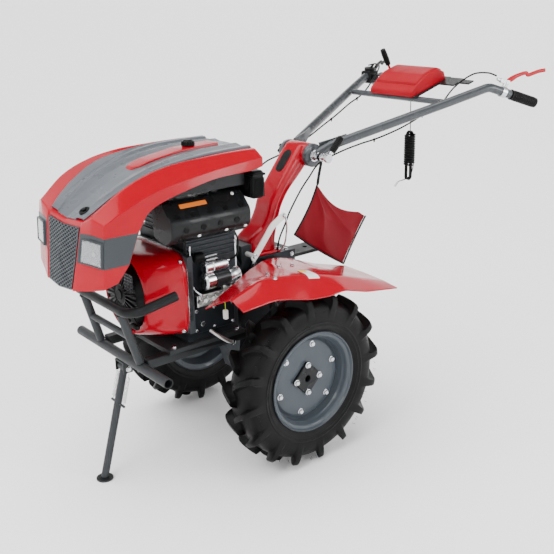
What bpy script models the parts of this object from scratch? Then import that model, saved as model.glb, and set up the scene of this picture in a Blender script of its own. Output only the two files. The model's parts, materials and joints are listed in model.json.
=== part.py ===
"""Two-wheel power tiller: a walking tractor with a tilting handlebar and a folding front stand.

Units are metres, +Z is up, the machine's front points to -Y and its left side to +X.
Places are given from the wheel axle (Y = 0) and the ground (Z = 0); one empty, at
AXLE_Y, then carries the whole machine so that the world origin is under its middle.
Run it with: blender --background --python part.py
"""
import math

import bmesh
import bpy
import numpy as np
from mathutils import Matrix, Vector

# ---------------------------------------------------------------- driving dimensions
SEAT_GAP = 0.0003            # clearance between two pieces that touch
AXLE_Y = -0.2155             # where the axle sits, so that the machine is centred on the origin

# wheels (5.00-12 agricultural tyres)
TYRE_RADIUS = 0.295
TYRE_HALF_WIDTH = 0.0645
WHEEL_PLANE_X = 0.3135       # middle plane of each wheel
BEAD_RADIUS = 0.154          # where the tyre sits on the rim
BEAD_HALF_WIDTH = 0.0495
FLANGE_RADIUS = 0.1675
RIM_WALL = 0.004
DISC_OFFSET = 0.0125         # wheel disc, outboard of the middle plane
DISC_WALL = 0.004
HUB_BORE = 0.030             # hole in the middle of the wheel disc
HUB_SLEEVE_RADIUS = 0.028
HUB_PLATE_SIDE = 0.085
HUB_PLATE_WALL = 0.009
AXLE_RUNNING_GAP = 0.0006    # between the turning hub sleeve and the axle housing

# axle housing and gearbox
AXLE_HOUSING_HALF = 0.195
AXLE_HOUSING_RADIUS = 0.042
AXLE_FLANGE_RADIUS = 0.056
AXLE_FLANGE_WALL = 0.016
GEARBOX_HALF_WIDTH = 0.065
GEARBOX_TOP = 0.640
GEARBOX_REAR = 0.180
CLUTCH_AXIS_Z = 0.595
CLUTCH_FRONT_RADIUS = 0.085
CLUTCH_REAR_RADIUS = 0.044
CLUTCH_REAR = -0.045

CLUTCH_ARM_X = 0.098
CLUTCH_ARM_WALL = 0.006
LUG_HALF = 0.055             # lug on the gearbox that carries the clutch arm
LUG_FRONT = -0.045
LUG_REAR = -0.003
LUG_TOP = 0.690

# rear hitch
HITCH_BORE_RADIUS = 0.0085
HITCH_BORE_Y = 0.100         # behind the front of the hitch's back plate

# front frame
CROSS_TUBE_Y = -0.488
CROSS_TUBE_Z = 0.410
CROSS_TUBE_HALF = 0.277
CROSS_TUBE_RADIUS = 0.016
CROSS_TUBE_WALL = 0.003
RAIL_X = 0.124
RAIL_SIDE = 0.030
RAIL_REAR = -0.095
RAIL_Z = 0.418
HOOP_RADIUS = 0.015
HOOP_FRONT_Y = -0.545
HOOP_Z = 0.610
HOOP_BEND_X = 0.185
HOOP_END = (0.208, -0.400, 0.645)
POST_RADIUS = 0.0135
POST_TOP_X = 0.115
POST_FOOT_GAP = 0.0010       # the posts lean inwards, so their flat ends need a little more room
BRACE_RADIUS = 0.011
BRACE_SHARE = 0.50           # height of the brace up the posts

# folding stand
STAND_PIVOT_Y = -0.482
STAND_PIVOT_Z = 0.368
STAND_FOOT_Y = -0.584
STAND_LEG_RADIUS = 0.0125
STAND_SLEEVE_RADIUS = 0.014
STAND_SLEEVE_HALF = 0.021
STAND_EAR_WALL = 0.005
STAND_EAR_GAP = 0.0005
FOOT_RADIUS = 0.0275
FOOT_WALL = 0.006
SPRING_X = 0.034
SPRING_RADIUS = 0.0055
SPRING_TAB_SHARE = 0.32      # place of the spring tab down the leg

# engine
ENGINE_HALF_WIDTH = 0.130
ENGINE_FRONT = -0.318
ENGINE_REAR = -0.122
ENGINE_BASE_WALL = 0.012
ENGINE_BASE_HALF = 0.150
ENGINE_BASE_FRONT = -0.400
ENGINE_TOP = 0.780
HEAD_TOP = 0.840
HEAD_LEFT_X = 0.095
SHROUD_AXIS_Z = 0.612
SHROUD_HALF_WIDTH = 0.166
SHROUD_HALF_HEIGHT = 0.132
SHROUD_FRONT = -0.460
SHROUD_REAR = -0.335
RECOIL_RADIUS = 0.118
RECOIL_DEPTH = 0.045
RECOIL_FRONT = -0.478
STARTER_RADIUS = 0.028
SOLENOID_RADIUS = 0.020
PUMP_OUTER_X = 0.172
TANK_BOTTOM = 0.925
TANK_TOP = 0.972
TANK_HALF_WIDTH = 0.150
TANK_FRONT = -0.400
TANK_REAR = -0.095

# hood
HOOD_WALL = 0.004
PANEL_WALL = 0.003
RECESS = 0.006               # how far the grey panel and the grille lie below the red edges
RECESS_RUN = 0.008
STRIP_HALF_WIDTH = 0.031
STRIP_REAR = -0.110
STRIP_FRONT = -0.415
STRIP_WALL = 0.004
STRIP_LIFT = PANEL_WALL * 1.06 + 4 * SEAT_GAP
LAMP_WALL = 0.007
LAMP_ROWS = (7.25, 7.9)       # between the rows of the hood's front mask
CAP_Y = -0.199
CAP_RADIUS = 0.020
CAP_HEIGHT = 0.020

# steering column and handlebar
COLUMN_HALF_WIDTH = 0.045
PIVOT_Y = 0.265
PIVOT_Z = 0.956
CLAMP_RADIUS = 0.040
CLAMP_WALL = 0.008
LUG_WALL = 0.018
LUG_INNER_X = COLUMN_HALF_WIDTH + CLAMP_WALL + SEAT_GAP
BOLT_RADIUS = 0.011
BOLT_END_X = 0.135
HANDLE_RADIUS = 0.016
HANDLE_BEND_RADIUS = 0.055
CROSSBAR_RADIUS = 0.011
CLAMP_KNOB_RADIUS = 0.028
CROSSBAR_END_GAP = 0.0005    # the tubes bend where the crossbar meets them
LEVER_SEAT = 0.060           # hand lever perch, from the bend along the grip
LEVER_RISE = 0.120           # tip of the open hand lever above the grip's end
GRIP_RADIUS = 0.0185
GRIP_LENGTH = 0.115
CONSOLE_HALF_WIDTH = 0.105
CONSOLE_LENGTH = 0.185
CONSOLE_HEIGHT = 0.050
CONSOLE_PLATE_WALL = 0.005

# tool bag and cables
BAG_X = 0.128
STRAP_X = 0.110
BAG_THICKNESS = 0.030
CABLE_RADIUS = 0.0035
CABLE_PARTING = 0.007        # each half ends this far from the pivot, so that they never meet
HARNESS_X = 0.050
HARNESS_Y = 0.770
HARNESS_RADIUS = 0.0035
GLAND_RADIUS = 0.008
GLAND_DROP = 0.016
HANK_TOP = 0.985
HANK_BOTTOM = 0.790
HANK_WIDTH = 0.030
HANK_WALL = 0.018
SENSOR_RADIUS = 0.0020
SENSOR_PLUG_TOP = 0.545

# mudguards
GUARD_WALL = 0.003
GUARD_BRACKET_X = 0.158      # the gearbox's side brackets end here, under the guards
GUARD_BRACKET_Y = (0.035, 0.085)
GUARD_FOLD_X = 0.340
GUARD_OUTER_X = 0.402

# ---------------------------------------------------------------- materials
FINISHES = {
    "red_paint": ((0.75, 0.012, 0.018), 0.22, 0.0),
    "hood_grey": ((0.125, 0.14, 0.152), 0.42, 0.0),
    "frame_grey": ((0.060, 0.064, 0.068), 0.48, 0.3),
    "handle_grey": ((0.150, 0.158, 0.165), 0.38, 0.4),
    "wheel_grey": ((0.150, 0.170, 0.190), 0.45, 0.2),
    "rubber": ((0.018, 0.018, 0.019), 0.85, 0.0),
    "black_plastic": ((0.022, 0.022, 0.024), 0.50, 0.0),
    "black_paint": ((0.018, 0.018, 0.020), 0.40, 0.2),
    "cast_grey": ((0.085, 0.092, 0.100), 0.55, 0.3),
    "bare_alloy": ((0.60, 0.60, 0.58), 0.35, 0.9),
    "zinc_steel": ((0.66, 0.67, 0.68), 0.28, 1.0),
    "white_paint": ((0.78, 0.78, 0.76), 0.35, 0.0),
    "red_plastic": ((0.66, 0.020, 0.020), 0.45, 0.0),
    "lens": ((0.78, 0.80, 0.82), 0.08, 0.0),
    "red_fabric": ((0.55, 0.010, 0.020), 0.80, 0.0),
}

parts = None
cutters = None


def clear_scene():
    """Start from an empty file with one collection for the parts and one for the cutters."""
    global parts, cutters
    for old in list(bpy.data.objects):
        bpy.data.objects.remove(old, do_unlink=True)
    parts = bpy.data.collections.new("power_tiller")
    cutters = bpy.data.collections.new("power_tiller_cutters")
    bpy.context.scene.collection.children.link(parts)
    bpy.context.scene.collection.children.link(cutters)


def finish(name, slot):
    """A material of this piece's own, from the shared table of finishes."""
    colour, roughness, metallic = FINISHES[slot]
    made = bpy.data.materials.new(name + "_" + slot)
    made.use_nodes = True
    shader = made.node_tree.nodes["Principled BSDF"]
    shader.inputs["Base Color"].default_value = (*colour, 1.0)
    shader.inputs["Roughness"].default_value = roughness
    shader.inputs["Metallic"].default_value = metallic
    return made


def keep(obj, name, slot, parent):
    """Name a finished piece, put it with the parts, dress it and hang it on its parent."""
    obj.name = name
    for collection in list(obj.users_collection):
        collection.objects.unlink(obj)
    parts.objects.link(obj)
    obj.data.materials.clear()
    obj.data.materials.append(finish(name, slot))
    obj.parent = parent
    for step in obj.modifiers:
        if step.type == "BOOLEAN":
            step.object.parent = parent
    return obj


def pivot(name, place, parent=None):
    """An empty that carries pieces; a joint's axis runs through it."""
    empty = bpy.data.objects.new(name, None)
    parts.objects.link(empty)
    empty.location = place
    empty.parent = parent
    return empty


def mesh_object(bm, name="work"):
    """Turn a bmesh into an object in the parts collection."""
    mesh = bpy.data.meshes.new(name)
    bm.to_mesh(mesh)
    bm.free()
    obj = bpy.data.objects.new(name, mesh)
    parts.objects.link(obj)
    return obj


def block(low, high, bevel=0.0, segments=2):
    """A box between two corners, with rounded edges where a bevel is given."""
    bm = bmesh.new()
    bmesh.ops.create_cube(bm, size=1.0)
    size = Vector(high) - Vector(low)
    bmesh.ops.scale(bm, vec=size, verts=bm.verts)
    bmesh.ops.translate(bm, vec=(Vector(high) + Vector(low)) / 2, verts=bm.verts)
    obj = mesh_object(bm)
    if bevel:
        round_edges(obj, bevel, segments)
    return obj


def round_edges(obj, width, segments=2):
    """Round the sharp edges of a solid."""
    rounding = obj.modifiers.new("rounding", "BEVEL")
    rounding.width = width
    rounding.segments = segments
    rounding.limit_method = "ANGLE"
    rounding.angle_limit = math.radians(40)
    return obj


def rod(start, end, radius, sides=24, end_radius=None):
    """A straight round bar between two points, or a cone where its end has another radius."""
    start = Vector(start)
    end = Vector(end)
    bm = bmesh.new()
    length = (end - start).length
    bmesh.ops.create_cone(bm, cap_ends=True, segments=sides, radius1=radius,
                          radius2=radius if end_radius is None else end_radius, depth=length)
    turn = Vector((0, 0, 1)).rotation_difference(end - start).to_matrix().to_4x4()
    bm.transform(Matrix.Translation((start + end) / 2) @ turn)
    obj = mesh_object(bm)
    obj.data.shade_smooth()
    obj.data.set_sharp_from_angle(angle=math.radians(35))
    return obj


def rounded_route(corners, radius, steps=6):
    """Points along straight runs whose corners are replaced by arcs of one radius."""
    corners = [Vector(c) for c in corners]
    route = [corners[0]]
    for before, corner, after in zip(corners, corners[1:], corners[2:]):
        back = (before - corner).normalized()
        ahead = (after - corner).normalized()
        half = back.angle(ahead) / 2
        reach = radius / math.tan(half)
        middle = corner + (back + ahead).normalized() * (radius / math.sin(half))
        first = (corner + back * reach - middle).normalized()
        last = (corner + ahead * reach - middle).normalized()
        for step in range(steps + 1):
            route.append(middle + first.slerp(last, step / steps) * radius)
    route.append(corners[-1])
    return route


def smooth_route(points, count):
    """Points evenly spread along a Catmull-Rom curve through the given ones."""
    pts = np.array(points, dtype=float)
    ends = np.vstack([2 * pts[0] - pts[1], pts, 2 * pts[-1] - pts[-2]])
    dense = []
    for i in range(1, len(ends) - 2):
        t = np.linspace(0, 1, 20, endpoint=False)[:, None]
        p0, p1, p2, p3 = ends[i - 1], ends[i], ends[i + 1], ends[i + 2]
        dense.append(0.5 * (2 * p1 + (p2 - p0) * t + (2 * p0 - 5 * p1 + 4 * p2 - p3) * t ** 2
                            + (3 * p1 - p0 - 3 * p2 + p3) * t ** 3))
    dense = np.vstack(dense + [pts[-1:]])
    run = np.concatenate([[0], np.cumsum(np.linalg.norm(np.diff(dense, axis=0), axis=1))])
    even = np.linspace(0, run[-1], count)
    return [Vector([np.interp(s, run, dense[:, k]) for k in range(3)]) for s in even]


def tube(route, radius, resolution=3):
    """A round bar or cable along a route, as a bevelled curve with closed ends."""
    curve = bpy.data.curves.new("route", "CURVE")
    curve.dimensions = "3D"
    curve.bevel_depth = radius
    curve.bevel_resolution = resolution
    curve.use_fill_caps = True
    spline = curve.splines.new("POLY")
    spline.points.add(len(route) - 1)
    for point, place in zip(spline.points, route):
        point.co = (*place, 1.0)
    spline.use_smooth = True
    obj = bpy.data.objects.new("route", curve)
    parts.objects.link(obj)
    return obj


def plate(outline, thickness, frame):
    """A flat outline given a thickness, lying in the frame's XY plane and centred on it."""
    curve = bpy.data.curves.new("outline", "CURVE")
    curve.dimensions = "2D"
    curve.fill_mode = "BOTH"
    curve.extrude = thickness / 2
    spline = curve.splines.new("POLY")
    spline.points.add(len(outline) - 1)
    for point, (x, y) in zip(spline.points, outline):
        point.co = (x, y, 0.0, 1.0)
    spline.use_cyclic_u = True
    obj = bpy.data.objects.new("outline", curve)
    parts.objects.link(obj)
    obj.matrix_world = frame
    return obj


def as_mesh(obj):
    """Swap a curve for the closed mesh it draws, its caps welded, in the same place."""
    bpy.context.view_layer.update()
    mesh = bpy.data.meshes.new_from_object(obj.evaluated_get(bpy.context.evaluated_depsgraph_get()))
    bm = bmesh.new()
    bm.from_mesh(mesh)
    bmesh.ops.remove_doubles(bm, verts=bm.verts, dist=0.00001)
    bm.transform(obj.matrix_world)
    bmesh.ops.recalc_face_normals(bm, faces=bm.faces)
    if bm.calc_volume(signed=True) < 0:
        bmesh.ops.reverse_faces(bm, faces=bm.faces)
    bm.to_mesh(mesh)
    bm.free()
    solid = bpy.data.objects.new("solid", mesh)
    parts.objects.link(solid)
    bpy.data.objects.remove(obj, do_unlink=True)
    return solid


def combine(target, tool, operation="UNION"):
    """Join a second solid to the first, or cut it away, and hide it as a cutter."""
    parts.objects.unlink(tool)
    cutters.objects.link(tool)
    tool.name = "cutter"
    tool.hide_render = True
    tool.display_type = "WIRE"
    step = target.modifiers.new(operation.lower(), "BOOLEAN")
    step.operation = operation
    step.solver = "EXACT"
    step.object = tool
    return target


def turned(profile, steps=36):
    """A closed profile of (radius, height) points turned once around Z, then laid along X."""
    bm = bmesh.new()
    verts = [bm.verts.new((radius, 0.0, height)) for radius, height in profile]
    for first, second in zip(verts, verts[1:] + verts[:1]):
        bm.edges.new((first, second))
    obj = mesh_object(bm)
    screw = obj.modifiers.new("turn", "SCREW")
    screw.axis = "Z"
    screw.angle = math.tau
    screw.steps = steps
    screw.render_steps = steps
    screw.use_merge_vertices = True
    screw.merge_threshold = 0.00005
    screw.use_smooth_shade = False
    return obj


def across(x=0.0):
    """A frame whose XY plane is the machine's YZ plane, at the given X."""
    return Matrix.Translation((x, 0, 0)) @ Matrix(((0, 0, 1, 0), (1, 0, 0, 0), (0, 1, 0, 0), (0, 0, 0, 1)))


def facing_front(y=0.0):
    """A frame whose XY plane is the machine's XZ plane, at the given Y."""
    return Matrix.Translation((0, y, 0)) @ Matrix(((1, 0, 0, 0), (0, 0, -1, 0), (0, 1, 0, 0), (0, 0, 0, 1)))


def patch(rows, wall, outward=False, mirrored=True):
    """A sheet through a grid of points, given a wall to its inside or to its outside.

    Rows run from the machine's rear to its front and points from its middle to its left,
    and that order makes each face point outwards.
    """
    bm = bmesh.new()
    grid = [[bm.verts.new(p) for p in row] for row in rows]
    for near, far in zip(grid, grid[1:]):
        for k in range(len(near) - 1):
            bm.faces.new((near[k], far[k], far[k + 1], near[k + 1]))
    obj = mesh_object(bm)
    if mirrored:
        mirror = obj.modifiers.new("halves", "MIRROR")
        mirror.use_axis = (True, False, False)
        mirror.merge_threshold = 0.00005
    shell = obj.modifiers.new("wall", "SOLIDIFY")
    shell.thickness = wall
    shell.offset = 1.0 if outward else -1.0
    shell.use_rim = True
    return obj


# ---------------------------------------------------------------- wheels
def build_wheel(side, parent):
    """Tyre, rim and hub of one wheel; side is +1 for the machine's left, -1 for its right."""
    label = "left" if side > 0 else "right"
    spin = pivot("wheel_" + label + "_spin", (side * WHEEL_PLANE_X, 0, TYRE_RADIUS), parent)
    spin.rotation_euler = (0, side * math.pi / 2, 0)
    seat = BEAD_RADIUS + SEAT_GAP
    bead = BEAD_HALF_WIDTH - SEAT_GAP
    half = [(seat, bead), (FLANGE_RADIUS + 0.002, bead), (FLANGE_RADIUS + 0.010, bead + 0.009),
            (0.212, TYRE_HALF_WIDTH), (0.246, TYRE_HALF_WIDTH), (0.274, TYRE_HALF_WIDTH - 0.003),
            (TYRE_RADIUS - 0.003, TYRE_HALF_WIDTH - 0.012), (TYRE_RADIUS, TYRE_HALF_WIDTH - 0.020)]
    keep(turned(half + [(r, -s) for r, s in reversed(half)]), "tyre_" + label, "rubber", spin)

    barrel = BEAD_RADIUS - RIM_WALL
    lip = BEAD_HALF_WIDTH + RIM_WALL
    disc_out = DISC_OFFSET + DISC_WALL / 2
    disc_in = DISC_OFFSET - DISC_WALL / 2
    rim = [(HUB_BORE, disc_out), (barrel, disc_out), (barrel, lip), (FLANGE_RADIUS, lip),
           (FLANGE_RADIUS, BEAD_HALF_WIDTH), (BEAD_RADIUS, BEAD_HALF_WIDTH),
           (BEAD_RADIUS, -BEAD_HALF_WIDTH), (FLANGE_RADIUS, -BEAD_HALF_WIDTH),
           (FLANGE_RADIUS, -lip), (barrel, -lip), (barrel, disc_in), (HUB_BORE, disc_in)]
    keep(turned(rim), "rim_" + label, "wheel_grey", spin)

    inner = AXLE_HOUSING_HALF + AXLE_RUNNING_GAP - WHEEL_PLANE_X
    face = disc_out + SEAT_GAP
    sleeve = rod((0, 0, inner), (0, 0, face + HUB_PLATE_WALL / 2), HUB_SLEEVE_RADIUS)
    half_side = HUB_PLATE_SIDE / 2
    flange = block((-half_side, -half_side, face), (half_side, half_side, face + HUB_PLATE_WALL))
    flange.data.transform(Matrix.Rotation(math.pi / 4, 4, "Z"))
    combine(sleeve, flange)
    nut = rod((0, 0, face), (0, 0, face + HUB_PLATE_WALL + 0.010), 0.016, sides=6)
    combine(sleeve, nut)
    keep(sleeve, "hub_" + label, "black_paint", spin)


# ---------------------------------------------------------------- axle and gearbox
def build_drive(root):
    """Axle housing, gearbox, clutch housing, clutch arm and rear hitch."""
    axle = rod((-AXLE_HOUSING_HALF, 0, TYRE_RADIUS), (AXLE_HOUSING_HALF, 0, TYRE_RADIUS),
               AXLE_HOUSING_RADIUS)
    low = TYRE_RADIUS - 0.070
    side_view = [(-0.045, low), (0.045, low), (0.085, TYRE_RADIUS - 0.02), (0.105, 0.43),
                 (GEARBOX_REAR, 0.47), (GEARBOX_REAR, GEARBOX_TOP), (-0.010, GEARBOX_TOP),
                 (-0.020, 0.54), (-0.060, 0.44), (-0.075, TYRE_RADIUS + 0.02)]
    case = as_mesh(plate(side_view, 2 * GEARBOX_HALF_WIDTH, across()))
    for outer in (-AXLE_HOUSING_HALF, AXLE_HOUSING_HALF):
        inner = outer - math.copysign(AXLE_FLANGE_WALL, outer)
        combine(case, rod((inner, 0, TYRE_RADIUS), (outer, 0, TYRE_RADIUS), AXLE_FLANGE_RADIUS))
    combine(case, axle)
    combine(case, block((-LUG_HALF, LUG_FRONT, GEARBOX_TOP - 0.030), (LUG_HALF, LUG_REAR, LUG_TOP)))
    for side in (-1, 1):
        xs = sorted((side * (GEARBOX_HALF_WIDTH - 0.005), side * GUARD_BRACKET_X))
        top = guard_underside(GUARD_BRACKET_X, GUARD_BRACKET_Y)
        combine(case, block((xs[0], GUARD_BRACKET_Y[0], top - 0.045), (xs[1], GUARD_BRACKET_Y[1], top)))
    combine(case, rod((0, CLUTCH_REAR, CLUTCH_AXIS_Z), (0, 0.010, CLUTCH_AXIS_Z), CLUTCH_REAR_RADIUS))
    keep(case, "gearbox_case", "cast_grey", root)

    bell = rod((0, ENGINE_REAR + SEAT_GAP, CLUTCH_AXIS_Z), (0, CLUTCH_REAR - SEAT_GAP, CLUTCH_AXIS_Z),
               CLUTCH_FRONT_RADIUS, sides=32, end_radius=CLUTCH_REAR_RADIUS)
    keep(bell, "clutch_housing", "cast_grey", root)


def band(points, half_width):
    """Outline of a flat bar of one width along a line of points."""
    line = [Vector(p) for p in points]
    left = []
    right = []
    for k, point in enumerate(line):
        before = line[max(k - 1, 0)]
        after = line[min(k + 1, len(line) - 1)]
        along = (after - before).normalized()
        square = Vector((-along.y, along.x)) * half_width
        left.append(tuple(point + square))
        right.append(tuple(point - square))
    return left + right[::-1]


def build_clutch_arm(root):
    """White dog-leg arm beside the column, on a boss of the gearbox's lug."""
    line = [(-0.034, 0.644), (-0.024, 0.657), (0.044, 0.738), (0.062, 0.752), (0.110, 0.784)]
    arm = as_mesh(plate(band(line, 0.011), CLUTCH_ARM_WALL, across(CLUTCH_ARM_X)))
    combine(arm, rod((LUG_HALF + SEAT_GAP, -0.024, 0.662), (CLUTCH_ARM_X, -0.024, 0.662), 0.008, 16))
    keep(arm, "clutch_arm", "white_paint", root)


def build_hitch(root):
    """Rear tow hitch: a back plate with two lugs, bored for the drawbar pin."""
    front = GEARBOX_REAR + SEAT_GAP
    wide = 0.045
    hitch = block((-wide, front, 0.478), (wide, front + 0.012, 0.612))
    for low in (0.478, 0.600):
        lug = block((-wide, front, low), (wide, front + 0.150, low + 0.012))
        combine(hitch, lug)
    y = front + HITCH_BORE_Y
    combine(hitch, rod((0, y, 0.46), (0, y, 0.63), HITCH_BORE_RADIUS), "DIFFERENCE")
    keep(hitch, "hitch_bracket", "frame_grey", root)


# ---------------------------------------------------------------- front frame
def build_frame(root):
    """Open cross tube, bumper hoop, posts, brace and the two rails under the engine."""
    length = CROSS_TUBE_HALF
    bore = CROSS_TUBE_RADIUS - CROSS_TUBE_WALL
    cross = turned([(bore, length), (CROSS_TUBE_RADIUS, length), (CROSS_TUBE_RADIUS, -length),
                    (bore, -length)], steps=24)
    cross.location = (0, CROSS_TUBE_Y, CROSS_TUBE_Z)
    cross.rotation_euler = (0, math.pi / 2, 0)
    keep(cross, "front_cross_tube", "frame_grey", root)

    ends = [(side * HOOP_END[0], HOOP_END[1], HOOP_END[2]) for side in (-1, 1)]
    bends = [(side * HOOP_BEND_X, HOOP_FRONT_Y, HOOP_Z) for side in (-1, 1)]
    route = rounded_route([ends[0], bends[0], bends[1], ends[1]], 0.060, steps=8)
    bumper = as_mesh(tube(route, HOOP_RADIUS))

    hoop = Vector((0, HOOP_FRONT_Y, HOOP_Z))
    cross_axis = Vector((0, CROSS_TUBE_Y, CROSS_TUBE_Z))
    rise = (hoop - cross_axis).normalized()
    foot = cross_axis + rise * (CROSS_TUBE_RADIUS + POST_FOOT_GAP)
    for side in (-1, 1):
        combine(bumper, rod((side * RAIL_X, foot.y, foot.z), (side * POST_TOP_X, hoop.y, hoop.z), POST_RADIUS))
    middle = foot.lerp(hoop, BRACE_SHARE)
    reach = RAIL_X + (POST_TOP_X - RAIL_X) * BRACE_SHARE
    combine(bumper, rod((-reach, middle.y, middle.z), (reach, middle.y, middle.z), BRACE_RADIUS))
    keep(bumper, "bumper_frame", "frame_grey", root)

    front = CROSS_TUBE_Y + CROSS_TUBE_RADIUS + SEAT_GAP
    half = RAIL_SIDE / 2
    rails = block((-RAIL_X, RAIL_REAR - 0.050, RAIL_Z - 0.012), (RAIL_X, RAIL_REAR - 0.002, RAIL_Z + 0.012))
    for side in (-1, 1):
        combine(rails, block((side * RAIL_X - half, front, RAIL_Z - half),
                             (side * RAIL_X + half, RAIL_REAR, RAIL_Z + half)))
    top = RAIL_Z + half
    combine(rails, block((-ENGINE_BASE_HALF, ENGINE_BASE_FRONT, top - 0.002),
                         (ENGINE_BASE_HALF, ENGINE_REAR + 0.010, top + ENGINE_BASE_WALL)))
    keep(rails, "engine_rails", "frame_grey", root)


def build_stand(root):
    """Bracket under the cross tube, and the leg that folds back under the engine."""
    ear_in = STAND_SLEEVE_HALF + STAND_EAR_GAP
    ear_out = ear_in + STAND_EAR_WALL
    top = CROSS_TUBE_Z - CROSS_TUBE_RADIUS - SEAT_GAP
    bracket = block((-ear_out, STAND_PIVOT_Y - 0.018, top - 0.006), (ear_out, STAND_PIVOT_Y + 0.016, top))
    for side in (-1, 1):
        ear = block((min(side * ear_in, side * ear_out), STAND_PIVOT_Y - 0.018, STAND_PIVOT_Z - 0.014),
                    (max(side * ear_in, side * ear_out), STAND_PIVOT_Y + 0.016, top))
        combine(bracket, ear)
    keep(bracket, "stand_bracket", "frame_grey", root)

    fold = pivot("stand_fold", (0, STAND_PIVOT_Y, STAND_PIVOT_Z), root)
    foot = Vector((0, STAND_FOOT_Y - STAND_PIVOT_Y, -STAND_PIVOT_Z))
    leg = as_mesh(tube([Vector((0, 0, 0)), foot + Vector((0, 0, FOOT_WALL * 0.8))], STAND_LEG_RADIUS))
    pieces = [rod((-STAND_SLEEVE_HALF, 0, 0), (STAND_SLEEVE_HALF, 0, 0), STAND_SLEEVE_RADIUS),
              rod(foot, foot + Vector((0, 0, FOOT_WALL)), FOOT_RADIUS)]
    tab = foot * SPRING_TAB_SHARE
    pieces.append(rod((-SPRING_X - 0.006, tab.y, tab.z), (SPRING_X + 0.006, tab.y, tab.z), 0.004, 12))
    for piece in pieces:
        combine(leg, piece)
    keep(leg, "stand_leg", "frame_grey", fold)
    start = foot * 0.035
    stop = foot * SPRING_TAB_SHARE - foot.normalized() * (0.004 + SEAT_GAP)
    for side, label in ((1, "left"), (-1, "right")):
        coil = rod((side * SPRING_X, start.y, start.z), (side * SPRING_X, stop.y, stop.z), SPRING_RADIUS, 12)
        keep(coil, "stand_spring_" + label, "zinc_steel", fold)


# ---------------------------------------------------------------- engine
def build_engine(root):
    """Engine block, head, fan shroud, starters, silencer shield, air cleaner and fuel tank."""
    base_top = RAIL_Z + RAIL_SIDE / 2 + ENGINE_BASE_WALL
    engine = block((-ENGINE_HALF_WIDTH, ENGINE_FRONT, base_top + SEAT_GAP),
                   (ENGINE_HALF_WIDTH, ENGINE_REAR, ENGINE_TOP))
    combine(engine, block((-0.110, ENGINE_FRONT + 0.010, ENGINE_TOP - 0.010),
                          (HEAD_LEFT_X - SEAT_GAP, ENGINE_REAR - 0.010, HEAD_TOP)))
    combine(engine, block((-0.172, SHROUD_REAR + SEAT_GAP, SHROUD_AXIS_Z - 0.120),
                          (0.172, ENGINE_FRONT + 0.002, SHROUD_AXIS_Z + 0.128)))
    keep(engine, "engine_block", "cast_grey", root)

    corner = 0.075
    outline = []
    for sx, sz, first in ((1, 1, 0), (-1, 1, 90), (-1, -1, 180), (1, -1, 270)):
        for step in range(5):
            angle = math.radians(first + 22.5 * step)
            outline.append((sx * (SHROUD_HALF_WIDTH - corner) + corner * math.cos(angle),
                            SHROUD_AXIS_Z + sz * (SHROUD_HALF_HEIGHT - corner) + corner * math.sin(angle)))
    shroud = as_mesh(plate(outline, SHROUD_REAR - SHROUD_FRONT,
                           facing_front((SHROUD_FRONT + SHROUD_REAR) / 2)))
    well = rod((0, SHROUD_FRONT - 0.01, SHROUD_AXIS_Z), (0, SHROUD_FRONT + RECOIL_DEPTH, SHROUD_AXIS_Z),
               RECOIL_RADIUS + 0.006, sides=32)
    combine(shroud, well, "DIFFERENCE")
    round_edges(shroud, 0.010)
    keep(shroud, "fan_shroud", "red_paint", root)
    recoil = rod((0, RECOIL_FRONT, SHROUD_AXIS_Z), (0, SHROUD_FRONT + RECOIL_DEPTH - SEAT_GAP, SHROUD_AXIS_Z),
                 RECOIL_RADIUS - 0.020, sides=32, end_radius=RECOIL_RADIUS)
    keep(recoil, "recoil_starter", "black_plastic", root)

    side_x = ENGINE_HALF_WIDTH + SEAT_GAP + STARTER_RADIUS
    starter = rod((side_x, -0.272, 0.645), (side_x, -0.140, 0.645), STARTER_RADIUS)
    combine(starter, rod((side_x, -0.268, 0.690), (side_x, -0.185, 0.690), SOLENOID_RADIUS))
    combine(starter, block((side_x - 0.008, -0.262, 0.640), (side_x + 0.008, -0.200, 0.690)))
    keep(starter, "starter_motor", "zinc_steel", root)
    pump = block((ENGINE_HALF_WIDTH + SEAT_GAP, -0.300, 0.566), (PUMP_OUTER_X, -0.180, 0.606), 0.004)
    keep(pump, "injection_pump", "bare_alloy", root)
    build_silencer(root)
    build_tank(root)


def build_silencer(root):
    """Black heat shield over the silencer, and the air cleaner box behind it."""
    outline = [(HEAD_LEFT_X, 0.800), (0.168, 0.786), (0.198, 0.812), (0.200, 0.862), (0.150, 0.914),
               (HEAD_LEFT_X, 0.914)]
    shield = as_mesh(plate(outline, 0.290, facing_front(-0.255)))
    keep(round_edges(shield, 0.004), "silencer_shield", "black_paint", root)
    cleaner = block((-0.020, -0.088, 0.880), (0.185, -0.042, 0.968), 0.006)
    duct = block((-0.016, ENGINE_REAR - 0.030, HEAD_TOP + SEAT_GAP), (0.060, -0.080, 0.905), 0.0)
    combine(cleaner, duct)
    keep(cleaner, "air_cleaner", "black_plastic", root)


def build_tank(root):
    """Fuel tank under the hood, on sheet legs from the cylinder head; its bosses carry the hood."""
    tank = block((-TANK_HALF_WIDTH, TANK_FRONT, TANK_BOTTOM), (TANK_HALF_WIDTH, TANK_REAR, TANK_TOP))
    for x in (-0.100, 0.040):
        for y in (-0.295, -0.160):
            combine(tank, block((x, y, HEAD_TOP + SEAT_GAP), (x + 0.022, y + 0.004, TANK_BOTTOM + 0.010)))
    for y in (-0.310, -0.135):
        for x in (-0.060, 0.060):
            roof = min(hood_point(x / HOOD_RAILS["edge"][0][0], y + reach)[2] for reach in (-0.010, 0.010))
            under = roof - HOOD_WALL * 1.02 - SEAT_GAP
            combine(tank, rod((x, y, TANK_TOP - 0.010), (x, y, under), 0.010))
    keep(tank, "fuel_tank", "black_plastic", root)


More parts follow.
